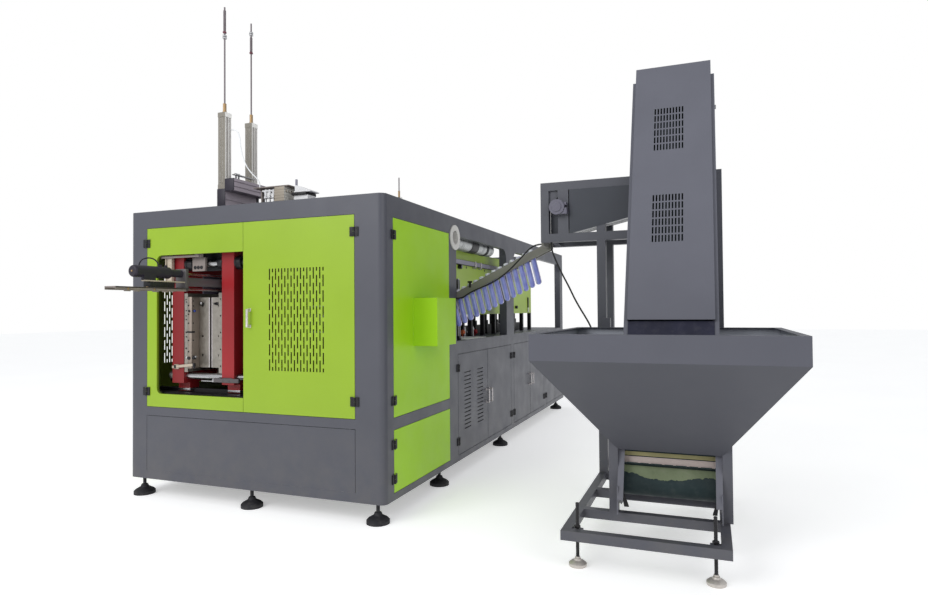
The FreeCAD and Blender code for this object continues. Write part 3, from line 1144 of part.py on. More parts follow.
def takeout_motor():
    """Drive motor over the shelf with its end bell, terminal knobs and short lead."""
    y0 = TAKEOUT_MOTOR_Y0
    y1 = y0 + TAKEOUT_MOTOR_LENGTH
    axis = (0, 1, 0)
    r = TAKEOUT_MOTOR_RADIUS
    body = rod((TAKEOUT_X, y0, TAKEOUT_MOTOR_Z), axis, r, TAKEOUT_MOTOR_LENGTH)
    bell = [e for e in body.Edges if e.BoundBox.YMax < y0 + 1 and e.BoundBox.XLength > r]
    body = body.makeFillet(14, bell)
    gear = rod((TAKEOUT_X, y1 - 1, TAKEOUT_MOTOR_Z), axis, r - 13, TAKEOUT_BRACKET_Y - JOINT_GAP - y1 + 1)
    saddle = box(TAKEOUT_X + 10, TAKEOUT_X + 34, y0 + 60, y0 + 150,
                 TAKEOUT_PLATE_Z + TAKEOUT_STRIP_ABOVE + TAKEOUT_PLATE + JOINT_GAP, TAKEOUT_MOTOR_Z - 10)
    knobs = [rod((TAKEOUT_X, y1 - d, TAKEOUT_MOTOR_Z), (0, 0, 1), 10, r + 12) for d in (18, 60)]
    route = [(0, 204, r - 3), (0, 196, 65), (-4, 166, 87), (-12, 128, 91), (-30, 96, 77), (-48, 92, 45),
             (-44, 92, 15), (-30, 92, -1)]
    lead = bar_tube([(TAKEOUT_X + a, y0 + b, TAKEOUT_MOTOR_Z + c) for a, b, c in route], LEAD_RADIUS)
    return fused([body, gear, saddle, lead] + knobs)


# ---- preform feeder: frame and feet -------------------------------------------------------------------
def feeder_frame():
    """Base frame, columns, bin supports and the box frame that carries the sorter."""
    t, c = FEEDER_TUBE, COLUMN_TUBE
    z0, z1 = FEEDER_Z0, FEEDER_Z0 + t
    x0, x1 = FEEDER_X0, FEEDER_X1
    rear_y = FEEDER_Y1 - c
    seat = z1 + JOINT_GAP
    base = [box(x0, x0 + t, FEEDER_Y0, FEEDER_Y1, z0, z1), box(x1 - t, x1, FEEDER_Y0, FEEDER_Y1, z0, z1)]
    for y in (FEEDER_Y0, COLUMN_Y, FEEDER_Y1 - t) + FEEDER_CROSS_YS:
        base.append(box(x0 + 1, x1 - 1, y, y + t, z0, z1))
    for x, y in feeder_foot_places():
        base.append(box(x - FOOT_LUG, x + FOOT_LUG, y - FOOT_LUG, y + FOOT_LUG, z0 + 8, z1 - 8))
    base = cut(fused(base), foot_bores())
    column_top = SORTER_Z0 - JOINT_GAP
    columns = [box(x0, x0 + c, y, y + c, seat, column_top) for y in (COLUMN_Y, rear_y)]
    columns.append(box(TOWER_X1 + JOINT_GAP, x1, COLUMN_Y, COLUMN_Y + c, seat, column_top))
    columns.append(box(x1 - c, x1, rear_y, rear_y + c, seat, column_top))
    parts = []
    for z in (SORTER_Z0, SORTER_Z1 - c):
        parts.append(box(SORTER_X0, TOWER_X0 - JOINT_GAP, COLUMN_Y, COLUMN_Y + c, z, z + c))
        parts.append(box(SORTER_X0, x1, rear_y, rear_y + c, z, z + c))
        parts.append(box(TOWER_X1 + JOINT_GAP, x1, COLUMN_Y, rear_y + 1, z, z + c))
    for y in (COLUMN_Y, rear_y):
        parts.append(box(x0, x0 + c, y, y + c, SORTER_Z0, SORTER_Z1))
    parts.append(box(TOWER_X1 + JOINT_GAP, x1, COLUMN_Y, COLUMN_Y + c, SORTER_Z0, SORTER_Z1))
    parts.append(box(x1 - c, x1, rear_y, rear_y + c, SORTER_Z0, SORTER_Z1))
    parts.append(box(SORTER_X0, SORTER_X0 + c, COLUMN_Y, FEEDER_Y1, SORTER_Z1 - c, SORTER_Z1))
    corner_x, corner_z = SORTER_X0 + c, SORTER_Z1 - c
    for y in (COLUMN_Y, rear_y):
        parts.append(box(SORTER_X0, corner_x, y, y + c, SORTER_Z0, SORTER_Z1))
        parts.append(slab([(corner_x, y + 20, corner_z), (corner_x + GUSSET, y + 20, corner_z),
                           (corner_x, y + 20, corner_z - GUSSET)], (0, 20, 0)))
    post_x = SORTER_POST_X + SORTER_POST
    parts.append(box(SORTER_POST_X, post_x, COLUMN_Y, COLUMN_Y + c, SORTER_Z0, SORTER_Z1))
    small = []
    for x in (TOWER_X0 - JOINT_GAP - t, TOWER_X1 + JOINT_GAP):
        y = FEEDER_CROSS_YS[0]
        upright = box(x, x + t, y, y + t, seat, BIN_BOTTOM + 120)
        small.append(upright.cut(bin_envelope(JOINT_GAP)))
    near = COLUMN_Y - JOINT_GAP
    small.append(box(x0 + 41, x0 + 93, near - 44, near, JUNCTION_Z0, JUNCTION_Z0 + 70))
    for x in (x0 + 10, x1 - 50 + 10):
        small.append(box(x, x + 40, BIN_Y1 + JOINT_GAP, near, BIN_TOP - BIN_BAND + 7, ENTRY_BOX_Z1))
    small.append(box(x0 - 60, x0 - JOINT_GAP, COLUMN_Y - 44, COLUMN_Y + 20, ENTRY_BOX_Z1 - 50, ENTRY_BOX_Z1))
    return Part.Compound([base] + columns + [fused(parts)] + small)


def feeder_foot_places():
    xs = (FEEDER_X0 + FEEDER_FOOT_INSET, FEEDER_X1 - FEEDER_FOOT_INSET)
    return [(x, y) for x in xs for y in (FEEDER_Y0 + FEEDER_FOOT_INSET, FEEDER_Y1 - FEEDER_FOOT_INSET)]


def foot_bores():
    return [rod((x, y, 0), (0, 0, 1), FEEDER_ROD_RADIUS + JOINT_GAP, FEEDER_ROD_TOP + 10)
            for x, y in feeder_foot_places()]


def feeder_feet():
    """Levelling feet: a metal pad, a hexagon foot, the threaded rod and its two nuts."""
    feet = []
    z0, z1 = FEEDER_Z0, FEEDER_Z0 + FEEDER_TUBE
    for x, y in feeder_foot_places():
        profile = [(0, 0), (FEEDER_FOOT_RADIUS, 0), (FEEDER_FOOT_RADIUS, 14), (FEEDER_FOOT_RADIUS - 8, 22),
                   (24, 30), (18, 44), (FEEDER_ROD_RADIUS, 44), (FEEDER_ROD_RADIUS, FEEDER_ROD_TOP),
                   (0, FEEDER_ROD_TOP)]
        face = Part.Face(Part.makePolygon([V(r, 0, z) for r, z in profile + profile[:1]]))
        foot = face.revolve(V(0, 0, 0), V(0, 0, 1), 360)
        foot.translate(V(x, y, 0))
        nuts = [rod((x, y, z), (0, 0, 1), 15, 12) for z in (z0 - 4 - JOINT_GAP, z1 - 8 + JOINT_GAP)]
        feet.append(fused([foot] + nuts))
    return Part.Compound(feet)


# ---- preform feeder: bin -----------------------------------------------------------------------------
def rectangle_wire(x0, x1, y0, y1, z):
    return Part.makePolygon([V(x0, y0, z), V(x1, y0, z), V(x1, y1, z), V(x0, y1, z), V(x0, y0, z)])


def bin_envelope(extra):
    """The funnel's outside, grown sideways."""
    low = rectangle_wire(TOWER_X0 - JOINT_GAP - extra, TOWER_X1 + JOINT_GAP + extra, BIN_FOOT_Y0 - extra,
                         BIN_FOOT_Y1 + extra, BIN_BOTTOM - extra)
    high = rectangle_wire(BIN_X0 - extra, BIN_X1 + extra, BIN_Y0 - extra, BIN_Y1 + extra, BIN_TOP - BIN_BAND)
    return Part.makeLoft([low, high], True, True)


def leaning(x0, x1, along0, along1, deep0, deep1):
    """A box in the elevator's own directions: across, along the casing and into its depth."""
    body = box(x0, x1, deep0, deep1, along0, along1)
    body.rotate(V(0, 0, 0), V(1, 0, 0), -TOWER_LEAN)
    body.translate(V(0, TOWER_FOOT_Y, TOWER_FOOT_Z))
    return body


def leaning_point(along, deep):
    return (TOWER_FOOT_Y + along * math.sin(LEAN_RAD) + deep * math.cos(LEAN_RAD),
            TOWER_FOOT_Z + along * math.cos(LEAN_RAD) - deep * math.sin(LEAN_RAD))


def hopper_bin():
    """Preform bin: an upright band with an inward lip on a four-sided funnel."""
    s = BIN_SHEET
    band_z = BIN_TOP - BIN_BAND
    outer = bin_envelope(0)
    low = rectangle_wire(TOWER_X0 - JOINT_GAP + s, TOWER_X1 + JOINT_GAP - s, BIN_FOOT_Y0 + s,
                         BIN_FOOT_Y1 - s, BIN_BOTTOM + s)
    high = rectangle_wire(BIN_X0 + s, BIN_X1 - s, BIN_Y0 + s, BIN_Y1 - s, band_z)
    inner = Part.makeLoft([low, high], True, True)
    band = box(BIN_X0, BIN_X1, BIN_Y0, BIN_Y1, band_z - 0.01, BIN_TOP).cut(
        box(BIN_X0 + s, BIN_X1 - s, BIN_Y0 + s, BIN_Y1 - s, band_z - 1, BIN_TOP - s))
    mouth = box(BIN_X0 + BIN_LIP, BIN_X1 - BIN_LIP, BIN_Y0 + BIN_LIP, BIN_Y1 - BIN_LIP, BIN_TOP - s - 1,
                BIN_TOP + 1)
    body = fused([outer.cut(inner), band]).cut(mouth)
    well = leaning(TOWER_X0 - JOINT_GAP, TOWER_X1 + JOINT_GAP, 0, TOWER_SPAN, -JOINT_GAP,
                   TOWER_DEPTH + JOINT_GAP)
    return body.cut(well)


# ---- preform feeder: elevator ------------------------------------------------------------------------
def along_at_height(z, deep=0.0):
    return (z - TOWER_FOOT_Z + deep * math.sin(LEAN_RAD)) / math.cos(LEAN_RAD)


def shaft(along, x0, x1, radius):
    y, z = leaning_point(along, DRUM_BACK)
    return rod((x0, y, z), (1, 0, 0), radius, x1 - x0)


def elevator_casing():
    """Channel-shaped casing with front flanges, closed top, foot plates and shaft bores."""
    s = CHANNEL_SHEET
    parts = [leaning(TOWER_X0, TOWER_X0 + s, 0, TOWER_SPAN, 0, TOWER_DEPTH),
             leaning(TOWER_X1 - s, TOWER_X1, 0, TOWER_SPAN, 0, TOWER_DEPTH),
             leaning(TOWER_X0, TOWER_X1, BACK_START, TOWER_SPAN, TOWER_DEPTH - s, TOWER_DEPTH),
             leaning(TOWER_X0, TOWER_X1, TOWER_SPAN - s, TOWER_SPAN, 0, TOWER_DEPTH),
             leaning(TOWER_X0, TOWER_X0 + CHANNEL_FLANGE, 0, TOWER_SPAN, 0, s),
             leaning(TOWER_X1 - CHANNEL_FLANGE, TOWER_X1, 0, TOWER_SPAN, 0, s)]
    for x in (TOWER_X0, TOWER_X1 - s):
        y = TOWER_FOOT_Y + 18
        foot_z = FEEDER_Z0 + FEEDER_TUBE + 10
        parts.append(slab([(x, y - 4, TOWER_FOOT_Z + 70), (x, y + 40, TOWER_FOOT_Z + 70),
                           (x, y + 40, foot_z), (x, y - 24, foot_z)], (s, 0, 0)))
    tools = [box(TOWER_X0 - 1, TOWER_X1 + 1, TOWER_FOOT_Y + 70, BIN_Y1, 0, CASING_BOTTOM_Z)]
    tools += [shaft(along, TOWER_X0 - 1, TOWER_X1 + 1, SHAFT_RADIUS + RUNNING_CLEARANCE)
              for along in (DRUM_LOW, DRUM_HIGH)]
    return cut(fused(parts), tools)


def elevator_cover():
    """Raised front cover of the elevator with two slotted grilles."""
    x0, x1 = TOWER_X0 + COVER_INSET, TOWER_X1 - COVER_INSET
    a0, a1 = along_at_height(COVER_START), along_at_height(COVER_END)
    outer = leaning(x0, x1, a0, a1, -COVER_DEPTH - JOINT_GAP, -JOINT_GAP)
    inner = leaning(x0 + COVER_SHEET, x1 - COVER_SHEET, a0 - 1, a1 - COVER_SHEET,
                    -COVER_DEPTH - JOINT_GAP + COVER_SHEET, 1)
    slots = []
    for height in GRILLE_HEIGHTS:
        for row in range(GRILLE_ROWS):
            a = along_at_height(height) + row * GRILLE_PITCH_UP
            for column in range(GRILLE_COLUMNS):
                x = GRILLE_X0 + column * GRILLE_PITCH_ACROSS
                slots.append(leaning(x, x + GRILLE_SLOT, a, a + GRILLE_SLOT_HEIGHT, -COVER_DEPTH - 1,
                                     -COVER_DEPTH + COVER_SHEET + 1))
    return cut(outer, [inner] + slots)


def elevator_flap():
    """Rubber flap that hangs below the cover's edge inside the bin."""
    a1 = along_at_height(COVER_START) - JOINT_GAP
    return leaning(TOWER_X0 + COVER_INSET + 4, TOWER_X1 - COVER_INSET - 4, a1 - FLAP_LENGTH, a1,
                   -FLAP_THICKNESS - JOINT_GAP, -JOINT_GAP)


def elevator_belt():
    """Closed belt round the two drums, with a toothed cleat at every pitch."""
    r0 = DRUM_RADIUS + RUNNING_CLEARANCE
    r1 = r0 + BELT_THICKNESS
    x0, x1 = TOWER_X0 + CHANNEL_SHEET + BELT_SIDE_GAP, TOWER_X1 - CHANNEL_SHEET - BELT_SIDE_GAP
    lying = []
    for r in (r1, r0):
        lying.append(fused([Part.makeCylinder(r, x1 - x0, V(x0, DRUM_BACK, DRUM_LOW), V(1, 0, 0)),
                            Part.makeCylinder(r, x1 - x0, V(x0, DRUM_BACK, DRUM_HIGH), V(1, 0, 0)),
                            box(x0, x1, DRUM_BACK - r, DRUM_BACK + r, DRUM_LOW, DRUM_HIGH)]))
    parts = [lying[0].cut(lying[1])]
    straight = DRUM_HIGH - DRUM_LOW
    per_run = CLEATS // 2
    pitch = straight / per_run
    for i in range(per_run):
        a = DRUM_LOW + (i + CLEAT_PHASE) * pitch
        for way in (-1, 1):
            near = DRUM_BACK + way * (r1 - 1)
            far = DRUM_BACK + way * (r1 + CLEAT_HEIGHT)
            ys = sorted((near, far))
            cleat = box(x0 + CLEAT_SIDE, x1 - CLEAT_SIDE, ys[0], ys[1], a, a + CLEAT_THICKNESS)
            tip = sorted((far + way, far - way * CLEAT_NOTCH))
            notches = [box(x, x + CLEAT_NOTCH, tip[0], tip[1], a - 1, a + CLEAT_THICKNESS + 1)
                       for x in notch_places(x0, x1)]
            parts.append(cut(cleat, notches))
    belt = fused(parts)
    belt.rotate(V(0, 0, 0), V(1, 0, 0), -TOWER_LEAN)
    belt.translate(V(0, TOWER_FOOT_Y, TOWER_FOOT_Z))
    return belt


def notch_places(x0, x1):
    step = (x1 - x0) / 4
    return [x0 + step * i + offset for i in range(4) for offset in (20, 92)]


def drum(along, left_end, right_end):
    y, z = leaning_point(along, DRUM_BACK)
    x0 = TOWER_X0 + CHANNEL_SHEET + BELT_SIDE_GAP + 4
    x1 = TOWER_X1 - CHANNEL_SHEET - BELT_SIDE_GAP - 4
    body = rod((x0, y, z), (1, 0, 0), DRUM_RADIUS, x1 - x0)
    return fused([body, shaft(along, left_end, right_end, SHAFT_RADIUS)])


def gear_motor():
    """Drive of the lower drum: gearbox hub on its shaft, and the motor box beside the casing foot."""
    y, z = leaning_point(DRUM_LOW, DRUM_BACK)
    x1 = TOWER_X0 - JOINT_GAP
    x0 = x1 - GEARBOX_WIDTH
    hub = rod((x0, y, z), (1, 0, 0), GEARBOX_RADIUS, GEARBOX_WIDTH)
    bore = rod((x0 + 12, y, z), (1, 0, 0), SHAFT_RADIUS + RUNNING_CLEARANCE, GEARBOX_WIDTH)
    arm = box(x0 + 8, x1 - 4, y - 10, y + 10, FEEDER_Z0 + FEEDER_TUBE + JOINT_GAP + 20, z)
    motor = rod((x0 + 8, y + 10, z - 12), (0, 1, 0), 34, MOTOR_REACH)
    junction = box(x0 + 2, x0 + 46, y + 70, y + 140, z - 12, z + 46)
    cable_box = box(TOWER_X0 + 41, TOWER_X0 + 220, BIN_FOOT_Y1 + 10, BIN_FOOT_Y1 + 140,
                    FEEDER_Z0 + FEEDER_TUBE + JOINT_GAP, TOWER_FOOT_Z)
    drive = fused([hub, arm, motor, junction]).cut(bore)
    return Part.Compound([drive, cable_box])


# ---- preform feeder: sorter and chute ------------------------------------------------------------------
SLOPE_RAD = math.radians(ROLLER_SLOPE)
CHUTE_RAD = math.radians(CHUTE_SLOPE)


def roller_height(x):
    return ROLLER_Z0 + (x - ROLLER_X0) * math.tan(SLOPE_RAD)


def roller_axis(side):
    way = (math.cos(SLOPE_RAD), 0, math.sin(SLOPE_RAD))
    return (ROLLER_X0, CHUTE_Y + side * ROLLER_HALF_GAP, ROLLER_Z0), way


def sorter_roller(side):
    start, way = roller_axis(side)
    body = rod(start, way, ROLLER_RADIUS, ROLLER_LENGTH)
    back = [s - w * JOURNAL_LENGTH for s, w in zip(start, way)]
    return fused([body, rod(back, way, JOURNAL_RADIUS, ROLLER_LENGTH + 2 * JOURNAL_LENGTH)])


def sorter_trough():
    """Sheet walls beside the rollers, with the end plates that carry their journals."""
    s = TROUGH_SHEET
    top = SORTER_Z1 - COLUMN_TUBE - JOINT_GAP
    end_x = ROLLER_X0 + ROLLER_LENGTH * math.cos(SLOPE_RAD)
    left = ROLLER_X0 - END_PLATE_GAP - END_PLATE
    right = end_x + END_PLATE_GAP + END_PLATE
    parts = []
    front_y = COLUMN_Y + COLUMN_TUBE + JOINT_GAP
    for y, x1 in ((front_y, TOWER_X0 - JOINT_GAP), (FEEDER_Y1 - COLUMN_TUBE - JOINT_GAP - s, right)):
        low, high = (roller_height(x) - PANEL_BELOW for x in (left, x1))
        parts.append(slab([(left, y, low), (x1, y, high), (x1, y, top), (left, y, top)], (0, s, 0)))
    rear_y = FEEDER_Y1 - COLUMN_TUBE - JOINT_GAP
    for x, y0 in ((left, front_y), (right - END_PLATE, TROUGH_REAR_PLATE_Y0)):
        z = roller_height(x)
        parts.append(box(x, x + END_PLATE, y0, CHUTE_Y - SLOT_HALF, z - 60, z + 45))
        parts.append(box(x, x + END_PLATE, CHUTE_Y + SLOT_HALF, rear_y, z - 60, z + 45))
        parts.append(box(x, x + END_PLATE, y0 + 31, rear_y, z + 40, z + 90))
    bores = []
    for side in (-1, 1):
        start, way = roller_axis(side)
        back = [a - w * 60 for a, w in zip(start, way)]
        bores.append(rod(back, way, JOURNAL_RADIUS + RUNNING_CLEARANCE, ROLLER_LENGTH + 120))
    return cut(fused(parts), bores)


def sorter_blower():
    """Round blower with its short outlet on the sorter's front post."""
    y1 = COLUMN_Y - JOINT_GAP
    parts = [rod((BLOWER_X, y1 - BLOWER_DEPTH, BLOWER_Z), (0, 1, 0), BLOWER_RADIUS, BLOWER_DEPTH),
             rod((BLOWER_X, y1 - BLOWER_DEPTH - 6, BLOWER_Z), (0, 1, 0), BLOWER_RADIUS - 22, 7),
             box(BLOWER_X + 20, BLOWER_X + 72, y1 - BLOWER_DEPTH + 8, y1, BLOWER_Z - 52, BLOWER_Z - 8),
             box(BLOWER_X + 40, BLOWER_X + 68, y1 - BLOWER_DEPTH + 14, y1, BLOWER_Z + 12, BLOWER_Z + 34)]
    return fused(parts)


def chute_top(x):
    return CHUTE_Z_AT_FACE + (x - HALF_WIDTH) * math.tan(CHUTE_RAD)


def chute_rails():
    """Two sloping rails that carry the preforms by their rings, with their end brackets."""
    parts = []
    drop = CHUTE_RAIL_HEIGHT / math.cos(CHUTE_RAD)
    high, low = chute_top(CHUTE_X1), chute_top(CHUTE_X0)
    for side in (-1, 1):
        near = CHUTE_Y + side * CHUTE_GAP / 2
        outer = near + side * CHUTE_RAIL
        y = min(near, outer)
        parts.append(slab([(CHUTE_X0, y, low), (CHUTE_X1, y, high), (CHUTE_X1, y, high - drop),
                           (CHUTE_X0, y, low - drop)], (0, CHUTE_RAIL, 0)))
    outer = (CHUTE_Y - CHUTE_GAP / 2 - CHUTE_RAIL, CHUTE_Y + CHUTE_GAP / 2 + CHUTE_RAIL)
    frame = (COLUMN_Y + COLUMN_TUBE + JOINT_GAP, FEEDER_Y1 - COLUMN_TUBE - JOINT_GAP)
    post_top = chute_top(CHUTE_POST_X) - 20
    rails = []
    for i, way in ((0, -1), (1, 1)):
        across = sorted((outer[i] - way, frame[i]))
        bracket = box(SORTER_X0 - CHUTE_BRACKET + JOINT_GAP, SORTER_X0 + 6, across[0], across[1],
                      high - CHUTE_RAIL_HEIGHT + 4, high - 12)
        across = sorted((outer[i] - way, outer[i] + way * 16))
        post = box(CHUTE_POST_X, CHUTE_POST_X + 24, across[0], across[1], TABLE_HEIGHT + JOINT_GAP,
                   post_top)
        rails.append(fused([parts[i], bracket, post]))
    return Part.Compound(rails)


def preforms():
    """Preforms hanging by their neck rings between the rails."""
    tilt = math.radians(PREFORM_LEAN)
    body_r = PREFORM_RADIUS
    neck = body_r - PREFORM_NECK_STEP
    chord = math.sqrt(PREFORM_RING_RADIUS ** 2 - (CHUTE_GAP / 2) ** 2)
    lift = chord * math.sin(CHUTE_RAD - tilt) + PREFORM_LIFT
    profile = [(0, 26), (neck, 26), (neck, 20), (neck + 2, 19), (neck + 2, 16), (neck, 15), (neck, 11),
               (neck + 2, 10), (neck + 2, 7), (neck, 6), (neck, 3), (PREFORM_RING_RADIUS, 3),
               (PREFORM_RING_RADIUS, 0), (neck + 1, 0), (body_r, -26), (body_r, body_r - PREFORM_LENGTH)]
    steps = 5
    for i in range(1, steps + 1):
        angle = math.pi / 2 * i / steps
        profile.append((body_r * math.cos(angle) if i < steps else 0,
                        body_r - PREFORM_LENGTH - body_r * math.sin(angle)))
    face = Part.Face(Part.makePolygon([V(r, 0, z) for r, z in profile + profile[:1]]))
    one = face.revolve(V(0, 0, 0), V(0, 0, 1), 360)
    one.rotate(V(0, 0, 0), V(0, 1, 0), -PREFORM_LEAN)
    row = []
    for i in range(PREFORMS):
        x = PREFORM_FIRST_X + i * PREFORM_PITCH
        item = one.copy()
        item.translate(V(x, CHUTE_Y, chute_top(x) + lift))
        row.append(item)
    return Part.Compound(row)


# ---- cords -------------------------------------------------------------------------------------------
def moved(points, x):
    return [(a + x, b, c) for a, b, c in points]


CHUTE_CABLE_ROUTE = moved([(JOINT_GAP, 1150.0, 1442.0), (55.0, 1150.0, 1442.0), (102.0, 1150.0, 1476.0),
                           (160.0, 1150.0, 1505.0), (230.0, 1150.0, 1530.0), (302.0, 1150.0, 1558.0),
                           (379.0, 1148.0, 1601.0), (454.0, 1146.0, 1658.0), (514.0, 1141.0, 1714.0),
                           (570.0, 1132.0, 1768.0), (630.0, 1116.0, 1820.0), (687.0, 1100.0, 1842.0)],
                          HALF_WIDTH) + [(SORTER_X0 - CHUTE_BRACKET, 1100.0, 1842.0)]
FEEDER_CABLE_ROUTE = moved([(71.0, 979.0, SORTER_Z0 - JOINT_GAP), (71.0, 979.0, 1790.0),
                            (90.0, 973.0, 1740.0), (121.0, 965.0, 1668.0), (160.0, 956.0, 1590.0),
                            (205.0, 946.0, 1508.0),
                            (247.0, 937.0, 1420.0), (292.0, 932.0, 1342.0), (333.0, 929.0, 1276.0),
                            (360.0, 928.0, 1224.0), (372.0, 927.0, 1185.0),
                            (372.0, 927.0, ENTRY_BOX_Z1 + JOINT_GAP)], SORTER_X0)
AIR_HOSE_ROUTE = moved([(CYLINDER_SIDE / 2 + JOINT_GAP, 265.0, 2735.0), (75.3, 265.0, 2735.0),
                        (105.0, 265.0, 2710.0), (120.0, 265.0, 2668.0), (128.0, 265.0, 2590.0),
                        (150.0, 265.0, 2508.0), (188.0, 265.0, 2434.0), (238.0, 265.0, 2380.0),
                        (284.0, 265.0, 2341.0), (307.0, 265.0, 2303.0),
                        (307.0, 265.0, VALVE_TOP + VALVE_PLATE + JOINT_GAP)], CLAMP_X)


def main():
    os.makedirs("parts", exist_ok=True)
    write("front_frame", front_frame())
    write("rear_frame", rear_frame())
    write("table_top", table_top())
    write("front_lower_panel", front_lower_panel())
    write("left_vent_panel", left_vent_panel())
    write("rear_panels", rear_panels())
    write("machine_bed", machine_bed())
    write("levelling_feet", levelling_feet())
    write("door_hinges", fixed_leaves())
    write("front_left_door", front_left_door())
    write("front_right_door", front_right_door())
    write("side_upper_door", side_upper_door())
    write("side_lower_door", side_lower_door())
    for number in range(6):
        write("cabinet_door_%d" % (number + 1), cabinet_door(number))

    write("outer_platens", outer_platens())
    write("inner_platen", inner_platen())
    write("tie_bars", tie_bars())
    write("clamp_cylinder", clamp_cylinder())
    write("clamp_rod", clamp_rod())
    write("left_mould", mould_half(-1))
    write("right_mould", mould_half(1))
    write("base_mould", base_mould())

    write("stretch_beams", stretch_beams())
    write("air_cylinders", air_cylinders())
    write("rod_glands", rod_glands())
    write("stretch_rods", stretch_rods())
    write("transfer_rod", transfer_rod())
    write("valve_block", valve_block())
    write("blow_head", blow_head())
    write("takeout_arm", takeout_arm())
    write("takeout_guide", takeout_guide())
    write("takeout_motor", takeout_motor())

    write("oven_cover", oven_cover())
    write("oven_frame", oven_frame())
    write("exhaust_ring", exhaust_ring())
    write("exhaust_duct", exhaust_duct())

    write("feeder_frame", feeder_frame())
    write("feeder_feet", feeder_feet())
    write("hopper_bin", hopper_bin())
    write("elevator_casing", elevator_casing())
    write("elevator_cover", elevator_cover())
    write("elevator_flap", elevator_flap())
    write("elevator_belt", elevator_belt())
    write("lower_drum", drum(DRUM_LOW, TOWER_X0 - GEARBOX_WIDTH + 14, TOWER_X1 + 22))
    write("upper_drum", drum(DRUM_HIGH, TOWER_X0 - 10, TOWER_X1 + 10))
    write("gear_motor", gear_motor())
    write("sorter_trough", sorter_trough())
    write("sorter_roller_front", sorter_roller(-1))
    write("sorter_roller_rear", sorter_roller(1))
    write("sorter_blower", sorter_blower())
    write("chute_rails", chute_rails())
    write("preforms", preforms())
    write("chute_cable", bar_tube(CHUTE_CABLE_ROUTE, CABLE_RADIUS))
    write("feeder_cable", bar_tube(FEEDER_CABLE_ROUTE, CABLE_RADIUS))
    write("air_hose", bar_tube(AIR_HOSE_ROUTE, HOSE_RADIUS))


main()
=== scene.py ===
import math
import random

import bmesh
import bpy
from mathutils import Matrix, Vector


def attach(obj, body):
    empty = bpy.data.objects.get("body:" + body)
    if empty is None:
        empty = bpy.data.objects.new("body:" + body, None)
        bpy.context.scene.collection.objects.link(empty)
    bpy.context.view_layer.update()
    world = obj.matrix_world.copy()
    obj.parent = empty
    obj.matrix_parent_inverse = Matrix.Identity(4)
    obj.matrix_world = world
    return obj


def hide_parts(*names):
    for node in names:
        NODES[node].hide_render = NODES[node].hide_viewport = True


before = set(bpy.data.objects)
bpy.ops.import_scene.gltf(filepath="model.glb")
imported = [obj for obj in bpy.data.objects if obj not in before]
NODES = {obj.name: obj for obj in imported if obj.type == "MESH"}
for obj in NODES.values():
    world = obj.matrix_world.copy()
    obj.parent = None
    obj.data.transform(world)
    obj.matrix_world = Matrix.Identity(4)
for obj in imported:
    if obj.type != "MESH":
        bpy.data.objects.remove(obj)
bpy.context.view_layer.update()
MM = 0.001
SHARP_EDGE = math.radians(35.0)
ACROSS, INWARD, OUTWARD, UP = (1, 0, 0), (0, 1, 0), (0, -1, 0), (0, 0, 1)


def placed(name, data):
    """A new object in the scene."""
    thing = bpy.data.objects.new(name, data)
    bpy.context.collection.objects.link(thing)
    return thing


# ---- camera: fitted to the photograph's perspective
PICTURE_WIDTH, FOCAL_PIXELS, SENSOR_WIDTH = 928.0, 634.44, 36.0
EYE = (2.970, -3.585, 1.35)
YAW_PITCH_ROLL = (21.14, 1.111, -0.448)


def make_camera():
    yaw, pitch, roll = (math.radians(angle) for angle in YAW_PITCH_ROLL)
    ahead = Vector((-math.sin(yaw) * math.cos(pitch), math.cos(yaw) * math.cos(pitch), math.sin(pitch)))
    right = Vector((math.cos(yaw), math.sin(yaw), 0))
    up = right.cross(ahead)
    side = right * math.cos(roll) + up * math.sin(roll)
    top = -right * math.sin(roll) + up * math.cos(roll)
    data = bpy.data.cameras.new("camera")
    data.sensor_width = SENSOR_WIDTH
    data.lens = FOCAL_PIXELS * SENSOR_WIDTH / PICTURE_WIDTH
    data.clip_end = 100.0
    camera = placed("camera", data)
    camera.matrix_world = Matrix.Translation(EYE) @ Matrix((side, top, -ahead)).transposed().to_4x4()
    bpy.context.scene.camera = camera


make_camera()


# ---- materials
def linear(red, green, blue):
    """A colour given as 0-255 screen values, as linear light."""
    out = []
    for value in (red, green, blue):
        c = value / 255.0
        out.append(c / 12.92 if c <= 0.04045 else ((c + 0.055) / 1.055) ** 2.4)
    return (*out, 1.0)


def shaded(colour, factor):
    return (*(min(1.0, c * factor) for c in colour[:3]), 1.0)


